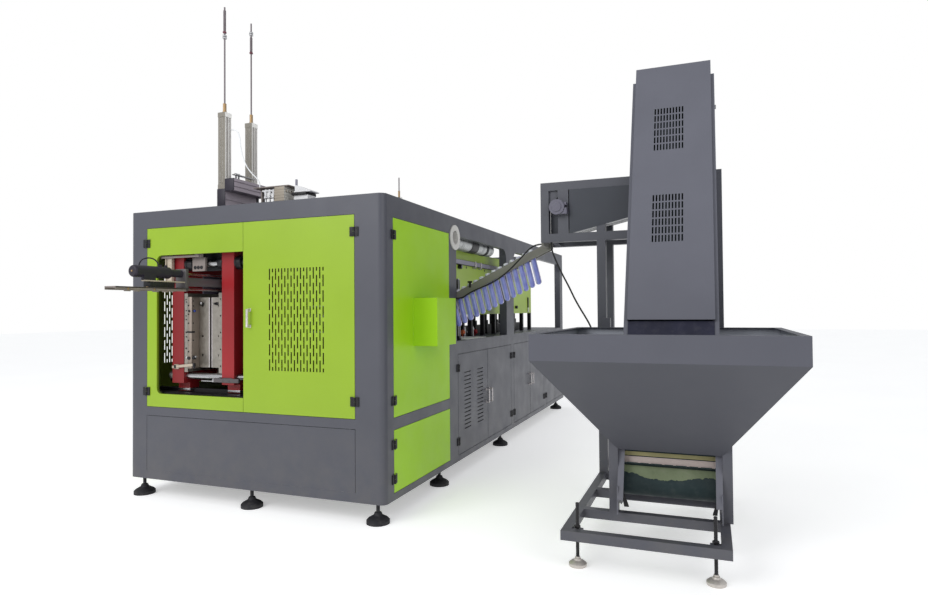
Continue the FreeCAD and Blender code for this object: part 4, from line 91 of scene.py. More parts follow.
class Nodes:
    """A small helper that builds one material's node tree."""

    def __init__(self, name, roughness=0.5, metallic=0.0, coat=0.0, coat_roughness=0.2, specular=0.5,
                 transmission=0.0, ior=1.45):
        self.material = bpy.data.materials.new(name)
        self.material.use_nodes = True
        self.tree = self.material.node_tree
        self.shader = self.tree.nodes["Principled BSDF"]
        values = {"Roughness": roughness, "Metallic": metallic, "Coat Weight": coat,
                  "Coat Roughness": coat_roughness, "Specular IOR Level": specular,
                  "Transmission Weight": transmission, "IOR": ior}
        for socket, value in values.items():
            self.shader.inputs[socket].default_value = value
        self.coords = self.add("ShaderNodeTexCoord").outputs["Object"]

    def add(self, kind, **inputs):
        node = self.tree.nodes.new(kind)
        for key, value in inputs.items():
            node.inputs[key.replace("_", " ")].default_value = value
        return node

    def link(self, source, target):
        self.tree.links.new(source, target)

    def stretched(self, scale):
        mapping = self.add("ShaderNodeMapping")
        mapping.inputs["Scale"].default_value = scale
        self.link(self.coords, mapping.inputs["Vector"])
        return mapping.outputs["Vector"]

    def noise(self, scale, detail=4.0, roughness=0.55, coords=None):
        node = self.add("ShaderNodeTexNoise", Scale=scale, Detail=detail, Roughness=roughness)
        self.link(coords or self.coords, node.inputs["Vector"])
        return node.outputs["Fac"]

    def spread(self, value, low, high, to_low=0.0, to_high=1.0):
        node = self.add("ShaderNodeMapRange")
        for socket, number in zip(("From Min", "From Max", "To Min", "To Max"), (low, high, to_low, to_high)):
            node.inputs[socket].default_value = number
        self.link(value, node.inputs["Value"])
        return node.outputs["Result"]

    def math(self, operation, a, b):
        node = self.add("ShaderNodeMath")
        node.operation = operation
        for socket, value in zip(node.inputs, (a, b)):
            if isinstance(value, (int, float)):
                socket.default_value = value
            else:
                self.link(value, socket)
        return node.outputs[0]

    def mix(self, factor, a, b):
        node = self.tree.nodes.new("ShaderNodeMix")
        node.data_type = "RGBA"
        for socket, value in ((node.inputs[0], factor), (node.inputs[6], a), (node.inputs[7], b)):
            if isinstance(value, (tuple, list, float, int)):
                socket.default_value = value
            else:
                self.link(value, socket)
        return node.outputs[2]

    def axis(self, letter):
        split = self.add("ShaderNodeSeparateXYZ")
        self.link(self.coords, split.inputs[0])
        return split.outputs[letter]

    def against_normal(self):
        """A dot product with the surface's normal; its second input is left open."""
        dot = self.add("ShaderNodeVectorMath")
        dot.operation = "DOT_PRODUCT"
        self.link(self.add("ShaderNodeNewGeometry").outputs["Normal"], dot.inputs[0])
        return dot

    def rounded(self, radius):
        bevel = self.add("ShaderNodeBevel", Radius=radius)
        bevel.samples = 4
        return bevel.outputs[0]

    def facing(self, direction):
        """How far the surface is turned towards a fixed direction of the frame."""
        dot = self.against_normal()
        dot.inputs[1].default_value = direction
        return dot.outputs["Value"]

    def edges(self):
        """Where the surface turns sharply, from rounded against flat normals."""
        dot = self.against_normal()
        self.link(self.rounded(0.003), dot.inputs[1])
        return self.spread(self.math("SUBTRACT", 1.0, dot.outputs["Value"]), 0.03, 0.35)

    def bump(self, height, strength=0.2, distance=0.001, rounding=0.0):
        node = self.add("ShaderNodeBump", Strength=strength, Distance=distance)
        self.link(height, node.inputs["Height"])
        if rounding:
            self.link(self.rounded(rounding), node.inputs["Normal"])
        self.link(node.outputs[0], self.shader.inputs["Normal"])

    def finish(self, colour, roughness=None):
        self.link(colour, self.shader.inputs["Base Color"])
        if roughness is not None:
            self.link(roughness, self.shader.inputs["Roughness"])
        return self.material


def painted(name, colour, rough, wear, dust=0.0, specular=0.4, mottle=0.05, painted_shade=None):
    """Powder coat: slight cloudiness, fine orange peel, worn edges, and dust low down.

    The last argument, (axis, dark from, to, colour), is painted shade: past a plane along one axis the colour
    is darkened, on a sheet's face that looks into the machine and on the bin's funnel under its band."""
    n = Nodes(name, specular=specular)
    colour = linear(*colour)
    cloud = n.spread(n.noise(2.3, 5.0), 0.3, 0.7)
    base = n.mix(cloud, shaded(colour, 1 - mottle), shaded(colour, 1 + mottle))
    speck = n.spread(n.noise(420.0, 2.0), 0.35, 0.65)
    base = n.mix(n.math("MULTIPLY", speck, 0.10), base, shaded(colour, 0.72))
    rub = n.math("MULTIPLY", n.edges(), n.spread(n.noise(38.0, 6.0, 0.7), 0.48, 0.66))
    base = n.mix(n.math("MULTIPLY", rub, 0.75), base, linear(*wear))
    low = n.spread(n.axis("Z"), 0.75, 0.10)
    grime = n.math("MULTIPLY", low, n.spread(n.noise(7.0, 6.0, 0.65), 0.35, 0.75))
    base = n.mix(n.math("MULTIPLY", grime, dust), base, linear(122, 116, 106))
    # Painted shade: the faces past the given plane are mixed towards the given dark colour.
    if painted_shade is not None:
        letter, start, end, dark = painted_shade
        base = n.mix(n.spread(n.axis(letter), start, end), base, linear(*dark))
    n.bump(n.noise(900.0, 1.0), 0.10, 0.0006, 0.0015)
    return n.finish(base, n.spread(n.noise(5.5, 5.0), 0.3, 0.7, rough - 0.06, rough + 0.08))


def metal(name, colour, rough=0.3, grain=(1, 1, 60), strength=0.12, stain_and_reflection=0.12, rounding=0.0012,
          metallic=1.0, blotch_and_reflection=(70, 66, 60), painted_flank_light=None):
    """Bare metal: directional grain, faint handling stains, rounded edges; on the duct foil the stain mix is
    strong and paints the dark patches of reflection.

    The paler flank tone is painted light, mixed onto the faces turned to the machine's right side."""
    n = Nodes(name, metallic=metallic)
    colour = linear(*colour)
    lines = n.noise(14.0, 6.0, 0.7, n.stretched(grain))
    base = n.mix(n.spread(lines, 0.3, 0.7), shaded(colour, 0.86), shaded(colour, 1.1))
    if painted_flank_light is not None:
        # Painted light: the faces turned to the machine's right side are mixed towards the paler flank tone.
        base = n.mix(n.spread(n.facing(ACROSS), 0.35, 0.8), base, linear(*painted_flank_light))
    stain_and_reflection_mask = n.spread(n.noise(9.0, 6.0, 0.6), 0.52, 0.78)
    base = n.mix(n.math("MULTIPLY", stain_and_reflection_mask, stain_and_reflection), base, linear(*blotch_and_reflection))
    n.bump(lines, strength, 0.0005, rounding)
    return n.finish(base, n.spread(lines, 0.3, 0.7, rough - 0.07, rough + 0.10))


def rubber(name, colour, rough=0.7, grain=260.0, dust=0.25, rounding=0.002):
    """Rubber or belting: cloudy, fine-grained, with a film of dust."""
    n = Nodes(name, specular=0.3)
    colour = linear(*colour)
    base = n.mix(n.spread(n.noise(6.0, 5.0), 0.3, 0.7), shaded(colour, 0.8), shaded(colour, 1.25))
    film = n.spread(n.noise(24.0, 6.0, 0.7), 0.5, 0.8)
    base = n.mix(n.math("MULTIPLY", film, dust), base, linear(120, 116, 108))
    n.bump(n.noise(grain, 3.0), 0.25, 0.0008, rounding)
    return n.finish(base, n.spread(n.noise(18.0), 0.3, 0.7, rough - 0.1, rough + 0.1))


# Colours as 0-255 screen values: the main paints, and what shows at their worn edges.
# The side doors' green is the front doors' paint made brighter and more saturated: painted light on the
# machine's right side.
FRAME_GREY, GREEN, SIDE_GREEN_PAINTED_LIGHT, RED = (79, 80, 88), (141, 172, 40), (158, 206, 34), (148, 31, 36)
GREEN_WEAR, GREY_WEAR = (190, 205, 150), (160, 160, 162)

M = {
    "frame": painted("frame_paint", FRAME_GREY, 0.4, (150, 150, 152), dust=0.22),
    # The last argument of the three greens and of the bin is painted shade: door and panel faces looking into
    # the machine, and the bin's funnel under its band, are darkened.
    "green_front": painted("green_front", GREEN, 0.36, GREEN_WEAR, dust=0.12, mottle=0.035,
                           painted_shade=("Y", -0.0588, -0.034, (30, 42, 16))),
    "green_left": painted("green_left", GREEN, 0.36, GREEN_WEAR, dust=0.12, mottle=0.035,
                          painted_shade=("X", -1.0685, -1.066, (34, 42, 26))),
    "green_side_painted_light": painted("green_side_painted_light", SIDE_GREEN_PAINTED_LIGHT, 0.4, GREEN_WEAR, dust=0.1, specular=0.25,
                          mottle=0.035, painted_shade=("X", 1.0680, 1.0655, (40, 52, 22))),
    "green_oven": painted("green_oven", (158, 184, 76), 0.4, GREEN_WEAR),
    "bin": painted("bin_paint", (84, 85, 94), 0.46, GREY_WEAR, dust=0.2,
                   painted_shade=("Z", 1.0895, 1.0870, (72, 73, 80))),
    # A pale grey laid inside the bin: painted light on its shaded inner faces.
    "painted_light_liner": painted("bin_inside_painted_light", (176, 180, 190), 0.46, (190, 190, 192), dust=0.2),
    "feeder": painted("feeder_paint", (100, 101, 111), 0.46, GREY_WEAR, dust=0.3),
    "red": painted("red_paint", RED, 0.34, (120, 90, 85), dust=0.1, mottle=0.08),
    # The outer platens' red is the platen paint made darker: painted shade inside the clamp unit.
    "red_painted_shade": painted("red_painted_shade", (126, 27, 31), 0.36, (110, 84, 80), dust=0.1, mottle=0.08),
    "black": painted("black_metal", (26, 25, 29), 0.42, (90, 90, 94), dust=0.08),
    "orange": painted("fitting_orange", (206, 104, 62), 0.4, (220, 150, 120)),
    "rim": painted("rim_silver", (204, 202, 198), 0.36, (225, 225, 225)),
    "lilac": painted("rail_lilac", (138, 136, 150), 0.4, (180, 180, 184)),
    "rod_nut": painted("nut_plum", (112, 62, 74), 0.4, (150, 110, 116)),
    "elbow": painted("elbow_white", (222, 222, 224), 0.3, (190, 190, 190)),
    "blue": painted("fitting_blue", (44, 66, 150), 0.35, (90, 100, 150)),
    "beige": painted("bracket_beige", (176, 164, 148), 0.42, (200, 190, 178)),
    "rail": painted("rail_grey", (118, 116, 110), 0.4, (175, 175, 176)),
    "dark": painted("dark_housing", (42, 38, 50), 0.44, (90, 88, 96)),
    "bracket": painted("bracket_grey", (84, 80, 82), 0.42, (140, 138, 138)),
    "panel": painted("panel_dark", (56, 59, 67), 0.44, (130, 132, 136)),
    "blower": painted("blower_grey", (98, 96, 110), 0.32, (180, 180, 188)),
    # The foil's strong dark blotches are painted reflection: the dark patches that crinkled foil shows.
    "foil": metal("duct_foil", (176, 178, 178), 0.3, (5, 9, 5), strength=0.9, stain_and_reflection=0.9,
                  metallic=0.85, blotch_and_reflection=(52, 54, 58)),
    "pad": metal("foot_pad", (196, 190, 184), 0.34, (8, 8, 8), stain_and_reflection=0.5, metallic=0.45,
                 blotch_and_reflection=(110, 104, 98)),
    "cleat": metal("cleat_steel", (188, 174, 168), 0.42, (3, 40, 40), stain_and_reflection=0.35, metallic=0.1,
                   blotch_and_reflection=(120, 104, 96)),
    "rod": metal("rod_brown", (116, 108, 112), 0.4, (40, 40, 3), stain_and_reflection=0.2, metallic=0.5),
    "steel": metal("steel", (176, 176, 178), 0.26, (60, 3, 60)),
    "mould": metal("mould_steel", (154, 149, 141), 0.38, (3, 40, 3), stain_and_reflection=0.3, metallic=0.85),
    "aluminium": metal("aluminium", (178, 178, 180), 0.3, (30, 30, 1.5)),
    # The flank tones of these three are painted light on their right-facing faces.
    "profile": metal("profile_anodised", (126, 121, 112), 0.42, (60, 60, 1.5), strength=0.04,
                     stain_and_reflection=0.1, metallic=0.15, painted_flank_light=(252, 250, 246)),
    "beam": metal("beam_anodised", (132, 127, 136), 0.42, (40, 2, 40), strength=0.04, stain_and_reflection=0.22,
                  metallic=0.1, painted_flank_light=(168, 158, 168)),
    "shelf": metal("shelf_plate", (132, 122, 118), 0.48, (40, 4, 40), stain_and_reflection=0.35, metallic=0.05),
    "valve": metal("valve_beige", (158, 148, 134), 0.46, (4, 4, 60), stain_and_reflection=0.1, metallic=0.05,
                   painted_flank_light=(206, 203, 196)),
    "shoe": metal("mould_shoe", (150, 138, 128), 0.44, (3, 40, 3), stain_and_reflection=0.25, metallic=0.6,
                  blotch_and_reflection=(96, 84, 74)),
    "chrome": metal("chrome_handle", (206, 200, 200), 0.24, (20, 20, 4), strength=0.04,
                    stain_and_reflection=0.1, metallic=0.45),
    "brass": metal("brass", (164, 136, 100), 0.38, (20, 20, 80), metallic=0.7, blotch_and_reflection=(120, 92, 60)),
    "olive": rubber("belt_olive", (104, 114, 88), 0.7, 320, dust=0.35),
    "straw": rubber("belt_straw", (150, 144, 104), 0.7, 320, dust=0.2),
    "foot": rubber("foot_rubber", (38, 38, 42), 0.62),
    "flap": rubber("flap_rubber", (36, 37, 56), 0.55, 180, dust=0.12),
    "belt": rubber("belt_green", (30, 44, 46), 0.6, 420, dust=0.1),
    "cable": rubber("cable_black", (30, 30, 32), 0.5, 600, dust=0.06, rounding=0),
    "hose": rubber("hose_white", (226, 228, 230), 0.3, 500, dust=0.05, rounding=0),
}


def preform_material():
    """Tinted clear plastic: cloudy and streaked, with a painted highlight where the wall stands edge-on to
    one fixed direction.
    """
    n = Nodes("preform_plastic", roughness=0.14, transmission=0.18, ior=1.5, specular=0.7, coat=0.5,
              coat_roughness=0.08)
    tint = n.mix(n.spread(n.noise(16.0, 4.0), 0.3, 0.7), linear(112, 120, 204), linear(146, 156, 232))
    streak = n.noise(20.0, 4.0, 0.6, n.stretched((14, 14, 1)))
    tint = n.mix(n.math("MULTIPLY", n.spread(streak, 0.45, 0.7), 0.4), tint, linear(98, 106, 196))
    # Painted highlight: faces turned across a fixed direction are mixed towards near white.
    edge_on_highlight = n.math("ABSOLUTE", n.facing((0.93, 0.36, 0.0)), 0.0)
    tint = n.mix(n.spread(edge_on_highlight, 0.50, 0.92, 0.0, 0.95), tint, linear(232, 224, 248))
    n.bump(streak, 0.05, 0.0004)
    return n.finish(tint, n.spread(n.noise(30.0), 0.3, 0.7, 0.10, 0.22))


def neck_material():
    """The clear threaded necks, almost white."""
    n = Nodes("preform_neck", roughness=0.16, transmission=0.10, ior=1.5, specular=0.6, coat=0.4)
    tint = n.mix(n.spread(n.noise(60.0, 3.0), 0.35, 0.65), linear(206, 206, 226), linear(246, 246, 250))
    n.bump(n.noise(90.0), 0.05, 0.0004)
    return n.finish(tint, n.spread(n.noise(30.0), 0.3, 0.7, 0.12, 0.26))


M["preform"] = preform_material()
M["neck"] = neck_material()

FINISH = {
    "frame": "front_frame rear_frame table_top front_lower_panel rear_panels feeder_frame "
             "cabinet_door_1 cabinet_door_2 cabinet_door_3 cabinet_door_4 cabinet_door_5 cabinet_door_6",
    "green_left": "left_vent_panel",
    "black": "machine_bed oven_frame door_hinges gear_motor",
    "beam": "stretch_beams",
    "profile": "air_cylinders",
    "brass": "rod_glands",
    "valve": "valve_block",
    "aluminium": "blow_head takeout_guide feeder_feet clamp_cylinder",
    "rim": "exhaust_ring",
    "foil": "exhaust_duct",
    "green_oven": "oven_cover",
    "foot": "levelling_feet",
    "rail": "chute_rails",
    "preform": "preforms",
    "bin": "hopper_bin",
    "feeder": "elevator_casing elevator_cover",
    "flap": "elevator_flap",
    "belt": "elevator_belt",
    "panel": "sorter_trough",
    "blower": "sorter_blower",
    "green_front": "front_left_door front_right_door",
    "green_side_painted_light": "side_upper_door side_lower_door",
    "red_painted_shade": "outer_platens",
    "red": "inner_platen",
    "steel": "tie_bars clamp_rod sorter_roller_front sorter_roller_rear lower_drum upper_drum",
    "mould": "left_mould right_mould base_mould",
    "rod": "stretch_rods transfer_rod",
    "bracket": "takeout_arm",
    "dark": "takeout_motor",
}
for finish, names in FINISH.items():
    for name in names.split():
        if not NODES[name].data.materials:
            NODES[name].data.materials.append(M[finish])
        for slot in NODES[name].material_slots:
            slot.material = M[finish]


# ---- mesh tools: every piece is built here, in millimetres
BLACK = ("black_metal", "black")


class Shape:
    """Collects solids into one mesh and turns it into a piece that rides on a body."""

    def __init__(self):
        self.mesh = bmesh.new()

    def absorb(self, part, place=None):
        if place is not None:
            bmesh.ops.transform(part, matrix=place, verts=part.verts)
        data = bpy.data.meshes.new("part")
        part.to_mesh(data)
        part.free()
        self.mesh.from_mesh(data)
        bpy.data.meshes.remove(data)
        return self

    def box(self, x0, x1, y0, y1, z0, z1, bevel=1.0, segments=2, place=None):
        part = bmesh.new()
        bmesh.ops.create_cube(part, size=1.0)
        bmesh.ops.scale(part, vec=(x1 - x0, y1 - y0, z1 - z0), verts=part.verts)
        bmesh.ops.translate(part, vec=((x0 + x1) / 2, (y0 + y1) / 2, (z0 + z1) / 2), verts=part.verts)
        if bevel:
            bmesh.ops.bevel(part, geom=list(part.edges), offset=bevel, segments=segments, profile=0.5,
                            affect="EDGES", clamp_overlap=True)
        return self.absorb(part, place)

    def lathe(self, base, axis, profile, steps=32, place=None):
        """A profile of (radius, height) turned about an axis that starts at base."""
        part = bmesh.new()
        rings = []
        for radius, height in profile:
            turns = [2 * math.pi * i / steps for i in range(steps if radius else 1)]
            rings.append([part.verts.new((radius * math.cos(turn), radius * math.sin(turn), height))
                          for turn in turns])
        for low, high in zip(rings, rings[1:]):
            for i in range(steps):
                around = ((low, i), (low, i + 1), (high, i + 1), (high, i))
                corners = tuple(dict.fromkeys(ring[number % len(ring)] for ring, number in around))
                if len(corners) > 2:
                    part.faces.new(corners)
        turn = Vector(axis).to_track_quat("Z", "Y").to_matrix().to_4x4()
        bmesh.ops.transform(part, matrix=Matrix.Translation(base) @ turn, verts=part.verts)
        return self.absorb(part, place)

    def turned(self, base, axis, profile, steps=24, place=None):
        """A solid turned part: both ends of the profile are carried to the axis."""
        return self.lathe(base, axis, [(0, profile[0][1]), *profile, (0, profile[-1][1])], steps, place)

    def bored(self, base, axis, bore, wall, steps=32):
        """A turned part with a straight bore through it."""
        profile = [(bore, 0), *wall, (bore, wall[-1][1]), (bore, 0)]
        return self.lathe(base, axis, profile, steps)

    def rod(self, base, axis, radius, length, edge=0.8, steps=24, place=None):
        profile = [(radius - edge, 0), (radius, edge), (radius, length - edge), (radius - edge, length)]
        return self.turned(base, axis, profile, steps, place)

    def tube(self, base, axis, outer, bore, length, edge=0.8, steps=32):
        wall = [(outer - edge, 0), (outer, edge), (outer, length - edge), (outer - edge, length)]
        return self.bored(base, axis, bore, wall, steps)

    def screw(self, base, axis, radius, height, place=None):
        """A socket-head screw: chamfered head with its recess."""
        profile = [(0, height * 0.45), (radius * 0.45, height * 0.45), (radius * 0.45, height),
                   (radius * 0.88, height), (radius, height * 0.8), (radius, 0), (0, 0)]
        return self.lathe(base, axis, profile[::-1], 16, place)

    def nut(self, base, axis, radius, height):
        edge = radius * 0.93
        profile = [(edge, 0), (radius, height * 0.15), (radius, height * 0.85), (edge, height)]
        return self.turned(base, axis, profile, 6)

    def thread(self, base, axis, radius, length, pitch=3.0, depth=1.0, steps=20):
        """Plain ridges that stand for a screw thread."""
        profile = []
        count = max(1, int(length / pitch))
        for i in range(count):
            z = i * length / count
            profile += [(radius - depth, z), (radius, z + 0.5 * length / count)]
        profile.append((radius - depth, length))
        return self.turned(base, axis, profile, steps)

    def prism(self, outline, along, place=None):
        """A flat outline swept along a direction."""
        part = bmesh.new()
        low = [part.verts.new(point) for point in outline]
        high = [part.verts.new(Vector(point) + Vector(along)) for point in outline]
        part.faces.new(low)
        part.faces.new(high[::-1])
        for i in range(len(low)):
            j = (i + 1) % len(low)
            part.faces.new((low[i], high[i], high[j], low[j]))
        return self.absorb(part, place)

    def piece(self, name, slot, material, body="machine"):
        """Ends the shape: smooth but for its sharp edges, in metres, with its finish, on its body."""
        bmesh.ops.recalc_face_normals(self.mesh, faces=self.mesh.faces)
        for face in self.mesh.faces:
            face.smooth = True
        for edge in self.mesh.edges:
            if len(edge.link_faces) != 2 or edge.calc_face_angle(0) > SHARP_EDGE:
                edge.smooth = False
        bmesh.ops.scale(self.mesh, vec=(MM, MM, MM), verts=self.mesh.verts)
        data = bpy.data.meshes.new(name)
        self.mesh.to_mesh(data)
        self.mesh.free()
        data.materials.append(M[material])
        thing = placed(name, data)
        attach(thing, body)
        return thing


# The front doors' outer plane, the oven side's plane, and the turn from the first to the second.
FRONT_Y, SIDE_X = -60.0, 1070.0
TO_SIDE = Matrix.Translation((SIDE_X + FRONT_Y, 0, 0)) @ Matrix.Rotation(math.pi / 2, 4, "Z")


# ---- hinges and handles
PIN_Y, LEAF_HALF, SCREW_RISE = FRONT_Y - 8, 30.6, 18
CABINET_PAIRS = ((1185, 731), (2751, 630), (4115, 478))
HALF_GAP = 1.5


def cabinet_doors():
    """The cabinet doors in pairs: body, near edge, far edge, and the way that each lies from its pin."""
    doors = []
    for start, width in CABINET_PAIRS:
        doors.append((start, start + width - HALF_GAP, 1))
        doors.append((start + width + HALF_GAP, start + 2 * width, -1))
    return [("cabinet_%d" % (number + 1), *door) for number, door in enumerate(doors)]


def hinge_cover(name, body, x, toward, centre, place):
    """Black leaf, sleeve and screws over the door's half of one hinge, whose pin stands at x."""
    shape = Shape()
    leaf = sorted((x + toward * 6.6, x + toward * 31.4))
    shape.box(*leaf, FRONT_Y - 7.8, FRONT_Y + 0.4, centre - LEAF_HALF, centre + LEAF_HALF, 1.6, 2, place)
    arm = sorted((x, x + toward * 8.5))
    shape.box(*arm, PIN_Y - 3.8, PIN_Y + 6.9, centre + 0.7, centre + 29.3, 0.8, 1, place)
    shape.rod((x, PIN_Y, centre + 0.6), UP, 7.1, 28.8, 1, 24, place)
    for z in (centre - SCREW_RISE, centre + SCREW_RISE):
        shape.screw((x + toward * 20, FRONT_Y - 7.6, z), OUTWARD, 4.2, 1.6, place)
    shape.piece(name, *BLACK, body)


def fixed_hinge_screws(shape, x, toward, centre, place):
    """Screws and pin end of the frame's half of one hinge."""
    for z in (centre - SCREW_RISE, centre + SCREW_RISE):
        shape.screw((x - toward * 19, FRONT_Y - 7.3, z), OUTWARD, 4.2, 1.6, place)
    shape.lathe((x, PIN_Y, centre - 31.6), UP, [(0, 0), (4, 0), (6, 1.4), (6.4, 2.2)], 24, place)


def hinges():
    fixed = Shape()
    rows = [("left_door", -901.5, 1, (770, 1856), None), ("right_door", 857.5, -1, (770, 1856), None),
            ("side_door", 64.5, 1, (770, 1840), TO_SIDE), ("side_low_door", 64.5, 1, (269, 489), TO_SIDE)]
    for body, y0, y1, toward in cabinet_doors():
        pin = y0 - HALF_GAP if toward > 0 else y1 + HALF_GAP
        rows.append((body, pin, toward, (289, 880), TO_SIDE))
    for body, x, toward, heights, place in rows:
        for i, centre in enumerate(heights):
            hinge_cover("hinge_%s_%d" % (body, i), body, x, toward, centre, place)
            fixed_hinge_screws(fixed, x, toward, centre, place)
    fixed.piece("hinge_fixed_screws", *BLACK)


def bow_handle(name, body, x, z, place=None):
    """A bright bow handle with rosettes, over the plain CAD bow."""
    shape = Shape()
    grow, reach, height, width = 0.8, 32, 125, 16
    side = (x - grow, x + width + grow)
    outer = FRONT_Y - reach
    shape.box(*side, outer - grow, outer + width / 2 + grow, z - grow, z + height + grow, 3.2, 3, place)
    for foot in (z, z + height - 14):
        shape.box(*side, outer, FRONT_Y + 0.3, foot - grow, foot + 14 + grow, 2, 2, place)
        shape.box(x - 3, x + width + 3, FRONT_Y - 2.4, FRONT_Y + 0.3, foot - 3.5, foot + 17.5, 1, 2, place)
    shape.piece(name, "steel", "chrome", body)


def handles():
    bow_handle("handle_front_door", "right_door", 24, 1242)
    for body, y0, y1, toward in cabinet_doors():
        bow_handle("handle_" + body, body, y1 - 50 if toward > 0 else y0 + 34, 509, TO_SIDE)


def cabinet_seam_shade_strips():
    """Painted shade: a dark strip laid at the surface around each cabinet door, standing for the shade at its
    seams.
    """
    wide, z0, z1 = 4, 179.2, 989.8
    for body, y0, y1, _ in cabinet_doors():
        seam_shade = Shape()
        for span in ((y0, y0 + wide, z0, z1), (y1 - wide, y1, z0, z1),
                     (y0 + wide, y1 - wide, z1 - wide, z1), (y0 + wide, y1 - wide, z0, z0 + wide)):
            # Painted shade: dark strips along each door's four edges.
            seam_shade.box(SIDE_X - 0.6, SIDE_X + 0.4, *span, 0)
        seam_shade.piece("edge_" + body, "frame_paint", "panel", body)


hinges()
handles()
cabinet_seam_shade_strips()


# ---- clamp unit, seen through the window
TIE_Y, TIE_TOP, TIE_BORE = 60, 1700, 24.6
LEFT_PLATEN, RIGHT_PLATEN = (-733.3, -625.3), (-274.7, -166.7)
MOULD_FRONT, BACKING_FRONT = 95, 19
MOULD_Z = (941, 1456)
ROOF_UNDER = 2042.5


def slide_shoes(name, body, x0, x1):
    shoes = Shape()
    for y in (120, 660):
        shoes.box(x0 - 1.2, x1 + 1.2, y - 46.2, y + 46.2, 768, 786, 1.5)
    shoes.piece(name, "steel", "steel", body)


def bush_sleeves():
    """Black guide bushes where the front upper tie bar passes each platen."""
    left, right = Shape(), Shape()
    head = [(48, 0), (50, 3), (50, 14), (46, 18)]
    for shape, x, axis, wall in (
            (left, LEFT_PLATEN[1], ACROSS, [(42, 0), (45, 3), (45, 14), (39, 17), (39, 56), (36, 62)]),
            (right, RIGHT_PLATEN[0], (-1, 0, 0), [*head, (46, 44), (44, 47.2)]),
            (right, RIGHT_PLATEN[1], ACROSS, [*head, (46, 46), (43, 50)])):
        shape.bored((x, TIE_Y, TIE_TOP), axis, TIE_BORE, wall, 40)
    for i in range(6):
        turn = math.radians(30 + 60 * i)
        for shape, x, way, reach in ((left, LEFT_PLATEN[1] + 12, 1, 41.5),
                                     (right, RIGHT_PLATEN[0] - 12, -1, 47)):
            spot = (x, TIE_Y + reach * math.cos(turn), TIE_TOP + reach * math.sin(turn))
            shape.screw(spot, (way, 0, 0), 3.2, 6)
    left.piece("bush_left_platen", *BLACK, "clamp_cage")
    right.piece("bush_right_platen", *BLACK, "clamp_ram")


def mould_fittings():
    """Shoe that carries the left mould, its bolts and water fittings, and those on the right mould."""
    z0, z1 = MOULD_Z
    shoe_x, shoe_front = (-593, -557), BACKING_FRONT + 0.4
    water_z, hose_z = 1357, 1411
    shoe = Shape().box(*shoe_x, shoe_front, MOULD_FRONT - 0.3, z0 - 4, z1 + 4, 2)
    shoe.piece("mould_shoe_left", "mould_steel", "shoe", "clamp_cage")
    dark = Shape()
    for z in (1397, 1333, 1268, 1142, 1060):
        dark.screw((-586, shoe_front, z), OUTWARD, 5.5, 4)
        dark.screw((-606, BACKING_FRONT, z + 26), OUTWARD, 4.5, 3)
    for z in (1430, 1394, 1268, 1142):
        dark.screw((shoe_x[1], 34, z), ACROSS, 5, 3)
    dark.box(-600, -556, BACKING_FRONT - 4, BACKING_FRONT + 1, 1197, 1209, 1.5)
    dark.box(-558, -553, BACKING_FRONT, 48, 1197, 1209, 1.5)
    dark.rod((shoe_x[1], 33, water_z), ACROSS, 9.5, 14, 1.5)
    dark.rod((-578, shoe_front, water_z), OUTWARD, 8, 8, 1.5)
    dark.rod((shoe_x[1], 34, 1016), ACROSS, 13, 22, 2)
    dark.rod((-580, shoe_front, 1012), OUTWARD, 12, 8, 2)
    dark.rod((-530, MOULD_FRONT, hose_z), OUTWARD, 14, 16, 2)
    dark.box(-541, -519, MOULD_FRONT - 16, MOULD_FRONT - 7, 1398, 1422, 3)
    dark.piece("mould_fittings_left", *BLACK, "clamp_cage")
    bright = Shape()
    hose_end = [(0, 0), (9, 0), (11, 4), (9, 10), (0, 13)]
    tap_end = [(0, 0), (8, 0), (9.5, 4), (8, 8), (0, 11)]
    bright.lathe((-522, MOULD_FRONT - 14, hose_z + 2), OUTWARD, hose_end, 20)
    bright.lathe((shoe_x[1] + 21, 36, 1022), ACROSS, tap_end, 20)
    bright.turned((-606, BACKING_FRONT, 1016), OUTWARD, [(9, 0), (9, 3), (5, 5)], 6)
    bright.piece("mould_balls_left", "steel", "steel", "clamp_cage")
    collar = Shape().tube((shoe_x[1] + 13, 33, water_z), ACROSS, 8, 4, 9, 1)
    collar.piece("mould_collar_blue", "black_metal", "blue", "clamp_cage")
    for side, body, x0, x1 in (("left", "clamp_cage", -467, -458.4), ("right", "clamp_ram", -441.6, -434)):
        edge = Shape().box(x0, x1, MOULD_FRONT - 1.4, MOULD_FRONT + 0.2, z0 + 2, z1 - 2, 0.5, 1)
        edge.piece("mould_edge_" + side, "steel", "chrome", body)
    right = Shape()
    for x in (-388, -358):
        right.turned((x, MOULD_FRONT, 1409), OUTWARD, [(11, 0), (12, 3), (12, 15), (8, 20), (8, 32)], 20)
    for z in (1300, 1180, 1060):
        right.screw((-352, MOULD_FRONT, z), OUTWARD, 4.5, 3)
    right.piece("mould_fittings_right", *BLACK, "clamp_ram")


